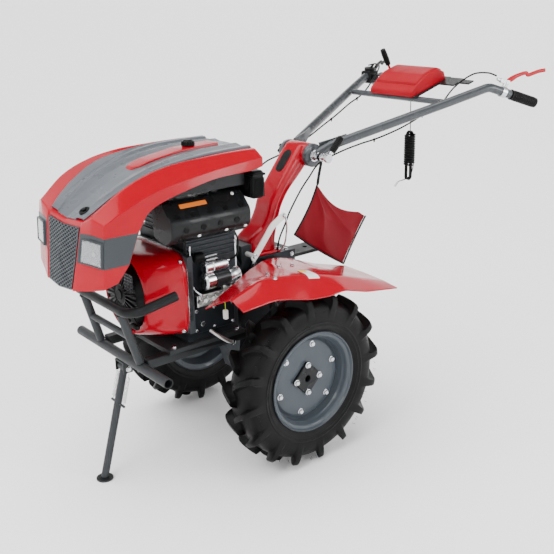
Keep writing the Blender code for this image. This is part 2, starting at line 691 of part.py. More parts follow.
# ---------------------------------------------------------------- hood
# Rails run from the rear edge over the roof (seven rows) and down the front mask (three rows).
HOOD_RAILS = {
    "middle": [(0, -0.055, 1.030), (0, -0.12, 1.030), (0, -0.24, 1.025), (0, -0.36, 1.006),
               (0, -0.46, 0.975), (0, -0.55, 0.930), (0, -0.634, 0.878),
               (0, -0.640, 0.862), (0, -0.654, 0.773), (0, -0.668, 0.684)],
    "edge": [(0.125, -0.055, 1.028), (0.135, -0.12, 1.029), (0.135, -0.24, 1.025), (0.130, -0.36, 1.008),
             (0.120, -0.46, 0.978), (0.108, -0.55, 0.935), (0.100, -0.632, 0.888),
             (0.097, -0.636, 0.866), (0.085, -0.650, 0.775), (0.073, -0.664, 0.690)],
    "ridge": [(0.160, -0.058, 1.034), (0.165, -0.12, 1.036), (0.168, -0.24, 1.035), (0.170, -0.36, 1.030),
              (0.172, -0.46, 1.012), (0.172, -0.55, 0.975), (0.160, -0.632, 0.912),
              (0.155, -0.634, 0.870), (0.147, -0.642, 0.775), (0.140, -0.651, 0.700)],
    "crease": [(0.200, -0.060, 1.012), (0.203, -0.12, 1.009), (0.205, -0.24, 0.998), (0.206, -0.36, 0.981),
               (0.206, -0.46, 0.960), (0.207, -0.55, 0.928), (0.207, -0.617, 0.899),
               (0.209, -0.621, 0.866), (0.208, -0.628, 0.773), (0.206, -0.633, 0.716)],
    "hem": [(0.203, -0.062, 0.985), (0.206, -0.12, 0.978), (0.208, -0.24, 0.974), (0.209, -0.36, 0.952),
            (0.209, -0.44, 0.930), (0.209, -0.478, 0.910), (0.209, -0.495, 0.889),
            (0.209, -0.511, 0.864), (0.209, -0.550, 0.773), (0.207, -0.588, 0.727)],
}
ROOF_ROWS = 7


def rail_point(name, row):
    """A point on a rail at a whole or broken row number."""
    rail = HOOD_RAILS[name]
    index = min(int(row), len(rail) - 2)
    return Vector(rail[index]).lerp(Vector(rail[index + 1]), row - index)


def hood_point(share, y):
    """The recessed roof surface at a share of the way out to the edge rail, at a given Y."""
    rail = HOOD_RAILS["middle"]
    row = float(np.interp(-y, [-p[1] for p in rail[:ROOF_ROWS]], range(ROOF_ROWS)))
    return rail_point("middle", row).lerp(rail_point("edge", row), abs(share))


def lifted(point, row, amount):
    """Move a point off the hood: upwards on the roof, forwards on the front mask."""
    if row < ROOF_ROWS - 0.5:
        return point + Vector((0, 0, amount))
    return point + Vector((0, -amount, 0))


def hood_rows(rows, columns, lift=0.0):
    """Points of a hood sheet: each column is a pair of rails and the share between them."""
    sheet = []
    for row in rows:
        line = []
        for first, second, share in columns:
            point = rail_point(first, row).lerp(rail_point(second, row), share)
            line.append(lifted(point, row, lift))
        sheet.append(line)
    return sheet


def shell_points(row):
    """Points across the red shell at one row, with the step up from the recess."""
    edge = rail_point("edge", row)
    proud = lifted(edge + Vector((RECESS_RUN, 0, 0)), row, RECESS)
    return [rail_point("middle", row), edge, proud, rail_point("ridge", row), rail_point("crease", row),
            rail_point("hem", row)]


def build_hood(root):
    """Red shell, grey top panel, grille, headlights, centre strip and filler cap."""
    rows = [k / 2 for k in range(0, 2 * (ROOF_ROWS - 1))] + [6, 7, 8, 9]
    keep(patch([shell_points(row) for row in rows], HOOD_WALL), "hood_shell", "red_paint", root)

    inner = [("middle", "edge", 0.0), ("middle", "edge", 0.5), ("middle", "edge", 0.985)]
    panel = hood_rows([k / 2 for k in range(0, 12)] + [5.9], inner, 2 * SEAT_GAP)
    keep(patch(panel, PANEL_WALL, outward=True), "hood_panel", "hood_grey", root)
    grille = hood_rows([6.6, 7, 8, 9], inner, 2 * SEAT_GAP)
    keep(patch(grille, PANEL_WALL, outward=True), "grille", "black_plastic", root)

    strip = []
    for y in (STRIP_REAR, -0.12, -0.24, -0.36, STRIP_FRONT):
        height = hood_point(0, y).z + STRIP_LIFT
        strip.append([Vector((0, y, height)), Vector((STRIP_HALF_WIDTH, y, height))])
    keep(patch(strip, STRIP_WALL, outward=True), "hood_strip", "red_paint", root)
    seat = hood_point(0, CAP_Y - CAP_RADIUS).z + STRIP_LIFT + STRIP_WALL + 0.0017
    cap = rod((0, CAP_Y, seat), (0, CAP_Y, seat + CAP_HEIGHT), CAP_RADIUS)
    keep(round_edges(cap, 0.003), "fuel_cap", "black_plastic", root)

    for side, label in ((1, "left"), (-1, "right")):
        face = []
        for row in LAMP_ROWS:
            proud, ridge, crease = shell_points(row)[2:5]
            line = (proud.lerp(ridge, 0.4), ridge, ridge.lerp(crease, 0.85))
            face.append([lifted(point, row, 2 * SEAT_GAP) for point in line])
        lamp = patch(face, LAMP_WALL, outward=True, mirrored=False)
        flip(lamp, side)
        keep(lamp, "headlight_" + label, "lens", root)


def flip(obj, side):
    """Mirror a left-hand sheet to the machine's right, keeping its faces outwards."""
    if side > 0:
        return
    obj.data.transform(Matrix.Scale(-1, 4, (1, 0, 0)))
    obj.data.flip_normals()


# ---------------------------------------------------------------- column and handlebar
def build_column(root):
    """Red swept column on the gearbox, with the fixed halves of the height clamp."""
    front = [(0.000, 0.700), (0.060, 0.735), (0.083, 0.775), (0.098, 0.815), (0.132, 0.868),
             (0.178, 0.928), (0.212, 0.970)]
    rear = [(0.292, 0.975), (0.245, 0.912), (0.177, 0.845), (0.145, 0.798), (0.125, 0.734), (0.115, 0.680)]
    base = GEARBOX_TOP + SEAT_GAP
    crown = [(PIVOT_Y - 0.012 + 0.040 * math.cos(math.radians(a)),
              PIVOT_Z + 0.006 + 0.040 * math.sin(math.radians(a))) for a in (130, 100, 70, 40)]
    outline = [(0.010, base)] + front + crown + rear + [(0.115, base)]
    column = as_mesh(plate(outline, 2 * COLUMN_HALF_WIDTH, across()))
    outer = COLUMN_HALF_WIDTH + CLAMP_WALL
    combine(column, rod((-outer, PIVOT_Y, PIVOT_Z), (outer, PIVOT_Y, PIVOT_Z), CLAMP_RADIUS, sides=32))
    keep(column, "steering_column", "red_paint", root)


def handle_corners(side):
    """Corner points of one handle tube, from its lug to the end of its grip."""
    start_x = LUG_INNER_X + HANDLE_RADIUS + 0.001
    shape = [(start_x, PIVOT_Y + 0.010, PIVOT_Z + 0.004), (0.085, 0.330, 0.985), (0.250, 0.736, 1.106),
             (0.308, 0.890, 1.152), (0.381, 1.073, 1.085)]
    return [Vector((side * x, y - PIVOT_Y, z - PIVOT_Z)) for x, y, z in shape]


def build_handlebar(root):
    """Everything that swings with the height clamp: tubes, bars, console, grips and levers."""
    swing = pivot("handlebar_height", (0, PIVOT_Y, PIVOT_Z), root)
    lug_outer = LUG_INNER_X + LUG_WALL
    for side, label in ((1, "left"), (-1, "right")):
        corners = handle_corners(side)
        along = (corners[-1] - corners[-2]).normalized()
        grip_start = corners[-1] - along * GRIP_LENGTH
        route = rounded_route(corners[:-1] + [grip_start], HANDLE_BEND_RADIUS, steps=5)
        bar = as_mesh(tube(route, HANDLE_RADIUS, 6))
        combine(bar, rod((side * LUG_INNER_X, 0, 0), (side * lug_outer, 0, 0), CLAMP_RADIUS, sides=32))
        bolt_end = BOLT_END_X if side > 0 else lug_outer + 0.022
        bolt_radius = BOLT_RADIUS if side > 0 else CLAMP_KNOB_RADIUS
        combine(bar, rod((side * (lug_outer - 0.004), 0, 0), (side * bolt_end, 0, 0), bolt_radius))
        keep(bar, "handle_tube_" + label, "handle_grey", swing)
        grip = rod(grip_start + along * SEAT_GAP, corners[-1], GRIP_RADIUS)
        keep(round_edges(grip, 0.004), "grip_" + label, "rubber", swing)
    second, third = handle_corners(1)[1:3]
    slant = math.atan2(third.x - second.x, third.y - second.y)
    reach = (third.x - HANDLE_RADIUS / math.cos(slant) - CROSSBAR_RADIUS * math.tan(slant)
             - CROSSBAR_END_GAP)
    bar = rod((-reach, third.y, third.z), (reach, third.y, third.z), CROSSBAR_RADIUS)
    keep(bar, "crossbar", "handle_grey", swing)
    build_console(swing)
    build_levers(swing)


def build_console(swing):
    """Black carrier plate across the crossbar, the red cover on it and the gear lever."""
    third, fourth = handle_corners(1)[2:4]
    tilt = math.atan2(fourth.z - third.z, fourth.y - third.y)
    deck = pivot("console_deck", (0, third.y, third.z), swing)
    deck.rotation_euler = (tilt, 0, 0)
    low = CROSSBAR_RADIUS + SEAT_GAP
    top = low + CONSOLE_PLATE_WALL
    carrier = block((-CONSOLE_HALF_WIDTH - 0.012, -0.012, low), (CONSOLE_HALF_WIDTH + 0.012, CONSOLE_LENGTH, top))
    combine(carrier, block((-0.235, CONSOLE_LENGTH - 0.045, low), (0.235, CONSOLE_LENGTH - 0.015, top)))
    combine(carrier, block((-0.185, CONSOLE_LENGTH - 0.070, low), (0.185, CONSOLE_LENGTH - 0.005, top)))
    turn = Matrix.Rotation(-tilt, 4, "X")
    gland_top = Vector((HARNESS_X, HARNESS_Y - third.y - PIVOT_Y, low + 0.002))
    gland = rod(gland_top, gland_top + turn @ Vector((0, 0, -GLAND_DROP)), GLAND_RADIUS, 16)
    combine(carrier, gland)
    keep(carrier, "console_plate", "black_plastic", deck)
    base = top + SEAT_GAP
    outline = [(-0.022, base), (CONSOLE_LENGTH - 0.02, base), (CONSOLE_LENGTH - 0.025, base + 0.030),
               (CONSOLE_LENGTH - 0.055, base + CONSOLE_HEIGHT), (0.060, base + CONSOLE_HEIGHT),
               (-0.022, base + 0.018)]
    cover = as_mesh(plate(outline, 2 * CONSOLE_HALF_WIDTH, across()))
    keep(round_edges(cover, 0.006), "console_cover", "red_plastic", deck)

    foot = Vector((-CONSOLE_HALF_WIDTH - 0.030, CONSOLE_LENGTH - 0.050, base + 0.0009))
    head = foot + Vector((0.004, -0.030, 0.115))
    lever = rod(foot, head, 0.0045, 12)
    combine(lever, rod(foot.lerp(head, 0.45), head + (head - foot) * 0.05, 0.0105, 16))
    keep(lever, "gear_lever", "black_plastic", deck)


def build_levers(swing):
    """Clamp lock lever, hand clutch lever on the left and throttle cluster on the right."""
    start = Vector((BOLT_END_X + SEAT_GAP, 0.0, 0.0))
    lock = rod(start, start + Vector((0.012, 0, 0)), 0.016)
    head = start + Vector((0.006, 0.052, 0.060))
    combine(lock, rod(start + Vector((0.006, 0, 0)), head, 0.006, 12))
    combine(lock, rod(start.lerp(head, 0.35) + Vector((0.004, 0, 0)), head, 0.0125, 16))
    keep(lock, "lock_lever", "black_plastic", swing)

    for side, label in ((1, "left"), (-1, "right")):
        bend, end = handle_corners(side)[-2:]
        along = (end - bend).normalized()
        up = Vector((0, 0, 1)) - along * along.z
        up.normalize()
        seat = bend + along * LEVER_SEAT + up * (HANDLE_RADIUS + SEAT_GAP)
        perch = rod(seat, seat + up * 0.026, 0.013, 16)
        hinge = seat + up * 0.020
        tip = end + up * LEVER_RISE - along * 0.010
        knee = hinge.lerp(tip, 0.25) + up * 0.012
        combine(perch, as_mesh(tube(smooth_route([hinge, knee, tip], 9), 0.0065, 2)))
        keep(perch, "hand_lever_" + label, "red_plastic" if side > 0 else "black_plastic", swing)


# ---------------------------------------------------------------- tool bag, cables and wiring
def build_bag(root):
    """Flat tool bag that hangs by a strap from the end of the clamp bolt."""
    outline = [(0.229, 0.872), (0.345, 0.800), (0.460, 0.720), (0.410, 0.640), (0.353, 0.562),
               (0.240, 0.640), (0.125, 0.714), (0.175, 0.790)]
    bag = as_mesh(plate(outline, BAG_THICKNESS, across(BAG_X)))
    strap_top = (STRAP_X, PIVOT_Y, PIVOT_Z - BOLT_RADIUS - 0.0022)
    strap = rod(strap_top, (BAG_X, 0.236, 0.862), 0.006, 8)
    combine(bag, strap)
    keep(bag, "tool_bag", "red_fabric", root)


def cable(name, route, count, parent):
    """A control cable held at both ends, its route given in the parent's frame."""
    place = Vector((0, PIVOT_Y, PIVOT_Z)) if parent.name == "handlebar_height" else Vector()
    points = [Vector(p) - place for p in route]
    keep(tube(smooth_route(points, count), CABLE_RADIUS, 2), name, "rubber", parent)


def build_cables(root):
    """Control cables, each split where it passes the handlebar's pivot."""
    swing = parts.objects["handlebar_height"]
    split = PIVOT_Z - 0.0175
    ahead, behind = PIVOT_Y - CABLE_PARTING, PIVOT_Y + CABLE_PARTING
    cable("clutch_cable_low", [
        (0.100, ahead, split - 0.005), (0.100, 0.216, 0.893), (0.100, 0.175, 0.850),
        (0.098, 0.130, 0.786), (0.090, 0.116, 0.744), (0.068, 0.108, 0.690),
        (0.058, 0.106, GEARBOX_TOP + 0.0006)], 16, root)
    cable("clutch_cable_high", [
        (0.100, behind, split + 0.002), (0.108, 0.349, 0.962), (0.120, 0.435, 0.981),
        (0.140, 0.503, 0.996), (0.165, 0.582, 1.022), (0.190, 0.640, 1.052), (0.190, 0.700, 1.074),
        (0.198, 0.765, 1.098), (0.205, 0.825, 1.150), (0.235, 0.885, 1.192), (0.282, 0.910, 1.199),
        (0.322, 0.912, 1.191)], 26, swing)
    cable("throttle_cable_low", [
        (-0.104, ahead, split), (-0.100, 0.200, 0.925), (-0.075, 0.108, 0.908),
        (-0.050, TANK_REAR + 0.040, 0.932), (-0.048, TANK_REAR + 0.0008, 0.935)], 16, root)
    cable("throttle_cable_high", [
        (-0.104, behind, split + 0.002), (-0.115, 0.349, 0.958), (-0.130, 0.430, 0.985),
        (-0.150, 0.500, 1.006), (-0.175, 0.591, 1.033), (-0.200, 0.690, 1.068),
        (-0.205, 0.765, 1.098), (-0.208, 0.825, 1.150), (-0.235, 0.885, 1.192),
        (-0.282, 0.910, 1.199), (-0.322, 0.912, 1.191)], 26, swing)


def build_harness():
    """Spare lighting lead that hangs from the console, wound up on itself."""
    swing = parts.objects["handlebar_height"]
    place = Vector((0, PIVOT_Y, PIVOT_Z))
    start = gland_end() + Vector((0, 0, -SEAT_GAP))
    lead = [start, start + Vector((0, -0.001, -0.040)), Vector((HARNESS_X, HARNESS_Y - 0.004, HANK_TOP))]
    keep(tube(smooth_route([p - place for p in lead], 12), HARNESS_RADIUS, 2), "harness_lead", "rubber", swing)
    middle_y = HARNESS_Y - 0.006
    wide = HANK_WIDTH / 2
    outline = []
    for centre, first in ((HANK_TOP - SEAT_GAP - wide, 0), (HANK_BOTTOM + wide, 180)):
        for step in range(7):
            angle = math.radians(first + 30 * step)
            outline.append((middle_y - PIVOT_Y + wide * math.cos(angle), centre - PIVOT_Z + wide * math.sin(angle)))
    hank = as_mesh(plate(outline, HANK_WALL, across(HARNESS_X)))
    keep(hank, "harness_hank", "rubber", swing)
    exit_y = middle_y - wide - 2 * SEAT_GAP
    tail = [(HARNESS_X, exit_y, HANK_BOTTOM + 0.022), (HARNESS_X, exit_y - 0.022, HANK_BOTTOM + 0.020),
            (HARNESS_X, exit_y - 0.040, HANK_BOTTOM + 0.004)]
    tail = [Vector(p) - place for p in tail]
    keep(tube(smooth_route(tail, 8), HARNESS_RADIUS / 2, 2), "harness_tail", "rubber", swing)
    along = (tail[2] - tail[1]).normalized()
    first = tail[2] + along * SEAT_GAP * 2
    keep(rod(first, first + along * 0.022, 0.004, 10), "harness_plug", "bare_alloy", swing)


def gland_end():
    """Lower end of the gland under the console plate, in the machine's frame."""
    third, fourth = handle_corners(1)[2:4]
    tilt = math.atan2(fourth.z - third.z, fourth.y - third.y)
    local = Vector((HARNESS_X, HARNESS_Y - third.y - PIVOT_Y, CROSSBAR_RADIUS + SEAT_GAP + 0.002))
    top = Matrix.Rotation(tilt, 3, "X") @ local
    return top + Vector((0, third.y + PIVOT_Y, third.z + PIVOT_Z - GLAND_DROP))


def build_sensor_lead(root):
    """Short loose lead with its connector, hanging from the injection pump."""
    x = PUMP_OUTER_X + SENSOR_RADIUS + 0.006
    route = [(PUMP_OUTER_X + 2 * SEAT_GAP, -0.215, 0.590), (x, -0.2145, 0.5895), (x + 0.005, -0.211, 0.570),
             (x + 0.005, -0.210, SENSOR_PLUG_TOP)]
    keep(tube(smooth_route(route, 12), SENSOR_RADIUS, 2), "sensor_lead", "rubber", root)
    low = (x - 0.002, -0.216, SENSOR_PLUG_TOP - SEAT_GAP - 0.030)
    high = (x + 0.012, -0.204, SENSOR_PLUG_TOP - SEAT_GAP)
    keep(block(low, high, 0.0015), "sensor_plug", "white_paint", root)


# Mudguard rails from rear to front: inner edge, fold line and the hem of the skirt.
GUARD_INNER = [(0.150, 0.340, 0.563), (0.145, 0.200, 0.600), (0.120, 0.100, 0.636), (0.120, 0.040, 0.648),
               (0.160, -0.040, 0.664), (0.200, -0.128, 0.660), (0.202, -0.180, 0.634), (0.205, -0.300, 0.578)]
GUARD_FOLD_Z = [0.556, 0.600, 0.630, 0.645, 0.662, 0.676, 0.681, 0.645]
GUARD_HEM_Z = [0.547, 0.568, 0.597, 0.592, 0.600, 0.622, 0.632, 0.625]


def guard_underside(x, span):
    """Highest flat top that fits under the guard's inner part, out to x, over a span of Y."""
    heights = []
    for y in span:
        ys = [-p[1] for p in GUARD_INNER]
        inner_x = np.interp(-y, ys, [p[0] for p in GUARD_INNER])
        inner_z = np.interp(-y, ys, [p[2] for p in GUARD_INNER])
        fold_z = np.interp(-y, ys, GUARD_FOLD_Z)
        share = (x - inner_x) / (GUARD_FOLD_X - inner_x)
        heights.append(float(min(inner_z, inner_z + (fold_z - inner_z) * share)))
    return min(heights) - GUARD_WALL * 1.03 - SEAT_GAP


def build_guard(side, root):
    """One mudguard: a folded sheet over the wheel with a skirt along its outer side."""
    rows = []
    for (x, y, z), fold_z, hem_z in zip(GUARD_INNER, GUARD_FOLD_Z, GUARD_HEM_Z):
        rows.append([Vector((x, y, z)), Vector((GUARD_FOLD_X, y, fold_z)), Vector((GUARD_OUTER_X, y, hem_z))])
    sheet = patch(rows, GUARD_WALL, mirrored=False)
    flip(sheet, side)
    keep(sheet, "mudguard_left" if side > 0 else "mudguard_right", "red_paint", root)


def build_tiller():
    """Build the whole machine on one empty."""
    clear_scene()
    root = pivot("power_tiller_root", (0, AXLE_Y, 0))
    build_drive(root)
    build_clutch_arm(root)
    build_hitch(root)
    build_frame(root)
    build_stand(root)
    build_engine(root)
    build_hood(root)
    build_column(root)
    build_handlebar(root)
    build_bag(root)
    build_cables(root)
    build_harness()
    build_sensor_lead(root)
    for side in (1, -1):
        build_guard(side, root)
        build_wheel(side, root)


build_tiller()
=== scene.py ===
"""Looks for a two-wheel power tiller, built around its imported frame.

Lengths are metres. Shapes are worked out in the machine's own frame, where Y is 0 at the wheel
axle and Z is 0 on the ground; put() then shifts each finished piece to the shared frame.
"""

import json
import logging
import math
from dataclasses import dataclass, field
from enum import Enum
from typing import Any, Sequence

import bmesh
import bpy
import numpy as np
from mathutils import Matrix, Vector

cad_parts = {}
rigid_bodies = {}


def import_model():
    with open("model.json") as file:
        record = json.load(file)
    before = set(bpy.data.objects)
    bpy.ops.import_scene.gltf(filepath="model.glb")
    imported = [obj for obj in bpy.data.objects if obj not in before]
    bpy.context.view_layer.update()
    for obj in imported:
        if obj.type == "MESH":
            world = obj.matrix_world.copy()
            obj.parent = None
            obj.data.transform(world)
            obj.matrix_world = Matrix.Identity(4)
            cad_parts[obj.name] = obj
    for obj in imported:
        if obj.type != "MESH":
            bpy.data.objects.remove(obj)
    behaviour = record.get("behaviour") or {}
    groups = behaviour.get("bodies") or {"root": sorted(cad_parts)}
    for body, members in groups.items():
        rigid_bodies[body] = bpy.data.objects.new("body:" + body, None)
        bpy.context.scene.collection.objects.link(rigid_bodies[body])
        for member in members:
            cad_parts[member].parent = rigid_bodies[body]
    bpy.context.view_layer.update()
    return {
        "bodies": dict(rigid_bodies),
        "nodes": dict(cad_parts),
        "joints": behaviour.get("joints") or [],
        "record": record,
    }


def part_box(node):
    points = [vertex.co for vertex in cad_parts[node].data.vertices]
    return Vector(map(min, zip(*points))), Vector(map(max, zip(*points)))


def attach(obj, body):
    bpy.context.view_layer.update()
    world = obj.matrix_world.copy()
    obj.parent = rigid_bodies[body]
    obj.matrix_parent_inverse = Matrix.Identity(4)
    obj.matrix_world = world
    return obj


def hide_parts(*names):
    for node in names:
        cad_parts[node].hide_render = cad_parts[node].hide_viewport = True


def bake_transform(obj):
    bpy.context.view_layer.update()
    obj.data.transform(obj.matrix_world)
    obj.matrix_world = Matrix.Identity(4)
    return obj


LOG = logging.getLogger("tiller")
Array = np.ndarray
Point = Sequence[float]
TAU = 2 * math.pi
X, Y, Z = (1, 0, 0), (0, 1, 0), (0, 0, 1)
AXLE = (0.0, -0.2155, 0.0)
PIVOT = (0.0, 0.265, 0.956)
SIDES = ((1, "left"), (-1, "right"))
CHASSIS, HANDLEBAR, STAND = "chassis", "handlebar", "stand"
# points closer than this become one, and edges shorter than SLIVER go
MERGE, CAD_MERGE, SLIVER = 0.000004, 0.00002, 0.000002
BEVEL_FROM = math.radians(34)
BUMP_STRENGTH, COAT_ROUGHNESS, METAL_SPECULAR = 0.8, 0.04, 0.5
# pointiness at which wear begins and is full, and the most colour it takes
WEAR_FROM, WEAR_FULL, WEAR_MOST = 0.54, 0.62, 0.55
FRAME: dict[str, Any] = {}


# ------------------------------------------------------------------ finishes
class Grain(Enum):
    """How a surface is broken up: feature size in mm, depth in mm and the kind of texture."""

    SMOOTH = (4.0, 0.006, "NOISE")
    PEEL = (2.2, 0.02, "NOISE")
    WRINKLE = (1.1, 0.07, "NOISE")
    CAST = (1.8, 0.26, "NOISE")
    MOULDED = (0.9, 0.05, "VORONOI")
    DRAWN = (1.5, 0.02, "NOISE")
    RUBBER = (2.6, 0.12, "NOISE")
    WOVEN = (2.4, 0.22, "WEAVE")


def linear(code: str) -> tuple[float, float, float, float]:
    """Turn an sRGB hex colour into linear light.

    Args:
        code: six hex digits after a hash sign.
    Returns:
        Linear red, green, blue and an alpha of one.
    """
    parts = [int(code[i:i + 2], 16) / 255 for i in (1, 3, 5)]
    light = [c / 12.92 if c <= 0.04045 else ((c + 0.055) / 1.055) ** 2.4 for c in parts]
    return (*light, 1.0)


def add(tree: bpy.types.NodeTree, kind: str, values: dict[str, Any] | None = None,
        links: dict[Any, Any] | None = None, **settings: Any) -> bpy.types.Node:
    """Add one node with its settings, socket values and incoming links.

    Args:
        tree: node tree that receives it.
        kind: node type without the ShaderNode prefix.
        values: socket values by input name or number.
        links: outgoing sockets of other nodes by input name or number.
        settings: plain properties of the node.
    Returns:
        The new node.
    """
    node = tree.nodes.new("ShaderNode" + kind)
    for key, value in settings.items():
        setattr(node, key, value)
    for key, value in (values or {}).items():
        node.inputs[key].default_value = value
    for key, socket in (links or {}).items():
        tree.links.new(socket, node.inputs[key])
    return node


def mixed(tree: bpy.types.NodeTree, share: Any, colour: Any, code: str) -> Any:
    """Mix a hex colour into a colour socket by a share, and return the mixed socket."""
    return add(tree, "Mix", {7: linear(code)}, {0: share, 6: colour}, data_type="RGBA").outputs[2]


@dataclass(frozen=True)
class Finish:
    """One real material, with what its surface does to light."""

    name: str
    slot: str
    colour: str
    second: str
    roughness: float
    grain: Grain
    metallic: float = 0.0
    coat: float = 0.0
    spread: float = 0.06
    patch_mm: float = 60.0
    wear: str = ""
    transmission: float = 0.0
    ior: float = 1.5
    # colour of the painted shade in a piece's hollows, mixed in by its relief attribute
    relief: str = ""
    specular: float = 0.12

    def material(self) -> bpy.types.Material:
        """Make the node material, or find the one made before."""
        found = bpy.data.materials.get(self.name)
        if found:
            return found
        made = bpy.data.materials.new(self.name)
        made.use_nodes = True
        tree = made.node_tree
        shader = tree.nodes["Principled BSDF"]
        specular = METAL_SPECULAR if self.metallic > 0.5 else self.specular
        for socket, value in (("Metallic", self.metallic), ("IOR", self.ior),
                              ("Coat Weight", self.coat), ("Coat Roughness", COAT_ROUGHNESS),
                              ("Specular IOR Level", specular),
                              ("Transmission Weight", self.transmission)):
            shader.inputs[socket].default_value = value
        place = {"Vector": add(tree, "TexCoord").outputs["Object"]}
        # broad, faint change of tone, as between batches and handling
        broad = add(tree, "TexNoise", {"Scale": 1000 / self.patch_mm, "Detail": 3.0}, place)
        tone = add(tree, "Mix", {6: linear(self.colour), 7: linear(self.second)},
                   {0: broad.outputs["Fac"]}, data_type="RGBA")
        colour = tone.outputs[2]
        if self.wear:
            # edges lose their colour where hands and stones touch them
            edge = add(tree, "NewGeometry").outputs["Pointiness"]
            worn = add(tree, "MapRange", {1: WEAR_FROM, 2: WEAR_FULL, 3: 0.0, 4: WEAR_MOST},
                       {0: edge})
            colour = mixed(tree, worn.outputs[0], colour, self.wear)
        if self.relief:
            # the piece's own attribute says how deep a point lies, and deep points are painted
            # near-black: painted shade in the hollows
            deep = add(tree, "Attribute", attribute_name="relief").outputs["Fac"]
            colour = mixed(tree, deep, colour, self.relief)
        tree.links.new(colour, shader.inputs["Base Color"])
        size, depth, kind = self.grain.value
        rough = add(tree, "MapRange", {1: 0.3, 2: 0.7, 3: max(self.roughness - self.spread, 0.02),
                                       4: self.roughness + self.spread}, {0: broad.outputs["Fac"]})
        tree.links.new(rough.outputs[0], shader.inputs["Roughness"])
        if kind == "WEAVE":
            bands = []
            for axis in ("Y", "Z"):
                wave = add(tree, "TexWave", {"Scale": 1000 / size / TAU * 2, "Distortion": 0.4,
                                             "Detail": 1.0}, place,
                           bands_direction=axis)
                bands.append(wave.outputs["Fac"])
            height = add(tree, "Math", {}, {0: bands[0], 1: bands[1]},
                         operation="MULTIPLY").outputs[0]
        elif kind == "VORONOI":
            height = add(tree, "TexVoronoi", {"Scale": 1000 / size}, place).outputs["Distance"]
        else:
            height = add(tree, "TexNoise", {"Scale": 1000 / size, "Detail": 2.0},
                         place).outputs["Fac"]
        bump = add(tree, "Bump", {"Strength": BUMP_STRENGTH, "Distance": depth / 1000},
                   {"Height": height})
        tree.links.new(bump.outputs["Normal"], shader.inputs["Normal"])
        return made


# Gloss baked enamel over pressed steel: a deep red with a wet clear layer and slight orange peel.
RED_ENAMEL = Finish("gloss_red_baked_enamel", "red_paint", "#A2001A", "#940018", 0.18, Grain.PEEL,
                    coat=0.22)
# Painted ABS hood: the same red, a little softer, with broad even highlights.
RED_ABS = Finish("painted_abs_red", "hood_red", "#A4001A", "#960018", 0.2, Grain.PEEL, coat=0.12)
# Satin painted ABS: mid grey that shows broad dull highlights.
GREY_ABS = Finish("satin_abs_grey", "hood_grey", "#5A5E63", "#51555A", 0.3, Grain.MOULDED,
                  coat=0.15)
# Satin painted ABS of the lamp surround: the same moulding in charcoal.
BAND_ABS = Finish("satin_abs_charcoal", "hood_grey", "#3A3E42", "#33373A", 0.34, Grain.MOULDED,
                  coat=0.1)
# Wrinkle powder coat on welded tube: near-black grey, broken sparkle.
POWDER = Finish("wrinkle_powder_coat_graphite", "frame_grey", "#1D1F20", "#161718", 0.42,
                Grain.WRINKLE, wear="#5A5D60")
# Satin powder coat on bent tube: mid grey with long soft highlights down the tube.
HANDLE_COAT = Finish("satin_powder_coat_grey", "handle_grey", "#46494C", "#3C3F42", 0.26,
                     Grain.PEEL, metallic=0.25, coat=0.3)
# Grey wheel enamel on pressed steel: flat and slightly blue.
WHEEL_ENAMEL = Finish("wheel_enamel_slate", "wheel_grey", "#444A50", "#3A4046", 0.34, Grain.PEEL,
                      coat=0.2)
# Vulcanised natural rubber of the tyres: dense black, dull, a faint grey bloom.
TYRE_RUBBER = Finish("vulcanised_tyre_rubber", "tyre", "#050505", "#0A0A0B", 0.48, Grain.RUBBER,
                     spread=0.12, patch_mm=45)
# Moulded EPDM of grips, boots and cable coats: softer black.
GRIP_RUBBER = Finish("moulded_epdm_black", "rubber", "#060606", "#0B0B0B", 0.5, Grain.MOULDED)
# PVC cable sheath: black with a soft shine along the bend.
CABLE_PVC = Finish("pvc_cable_sheath", "rubber", "#050505", "#0A0A0A", 0.34, Grain.SMOOTH)
# Glass-filled nylon mouldings: black, fine grained, low shine.
BLACK_NYLON = Finish("glass_filled_nylon_black", "black_plastic", "#08090A", "#0E0F10", 0.38,
                     Grain.MOULDED)
# Stove black on sheet steel: smooth with a lacquer shine.
STOVE_BLACK = Finish("heat_resisting_stove_black", "black_paint", "#111213", "#181A1B", 0.28,
                     Grain.SMOOTH, coat=0.08, wear="#3A3C3E")
# Sand-cast iron under engine grey paint: pebbly, dull.
CAST_IRON = Finish("painted_sand_cast_iron", "cast_grey", "#22262A", "#181B1E", 0.42, Grain.CAST,
                   metallic=0.2, wear="#5D6165")
# Pressure die-cast aluminium, bare: pale with a fine crystalline tooth.
DIE_CAST = Finish("die_cast_aluminium", "bare_alloy", "#C3C3BF", "#ABABA8", 0.34, Grain.CAST,
                  metallic=1.0)
# Bright zinc plate on turned steel: blue-white and quick to glint.
ZINC = Finish("bright_zinc_plated_steel", "zinc_steel", "#D4D6D8", "#B9BCC0", 0.24, Grain.DRAWN,
              metallic=1.0)
# White enamel on pressed steel.
WHITE_ENAMEL = Finish("white_enamel", "white_paint", "#E9E9E6", "#DEDEDB", 0.28, Grain.PEEL,
                      coat=0.4)
# Unfilled white nylon of the plug housing.
WHITE_NYLON = Finish("natural_nylon_white", "white_plastic", "#E6E6E0", "#D8D8D2", 0.42,
                     Grain.SMOOTH)
# Grained polypropylene: red, matte, evenly pebbled.
RED_GRAINED = Finish("grained_polypropylene_red", "red_plastic", "#9E0018", "#900016", 0.42,
                     Grain.MOULDED)
# Dip-coated red PVC on the lever.
RED_DIPPED = Finish("dipped_pvc_red", "red_plastic", "#A80018", "#9A0016", 0.33, Grain.SMOOTH,
                    coat=0.2)
# Polycarbonate lens: clear and hard.
LENS = Finish("clear_polycarbonate", "lens", "#F4F6F7", "#F1F3F5", 0.04, Grain.SMOOTH,
              transmission=0.92, ior=1.585, spread=0.01)
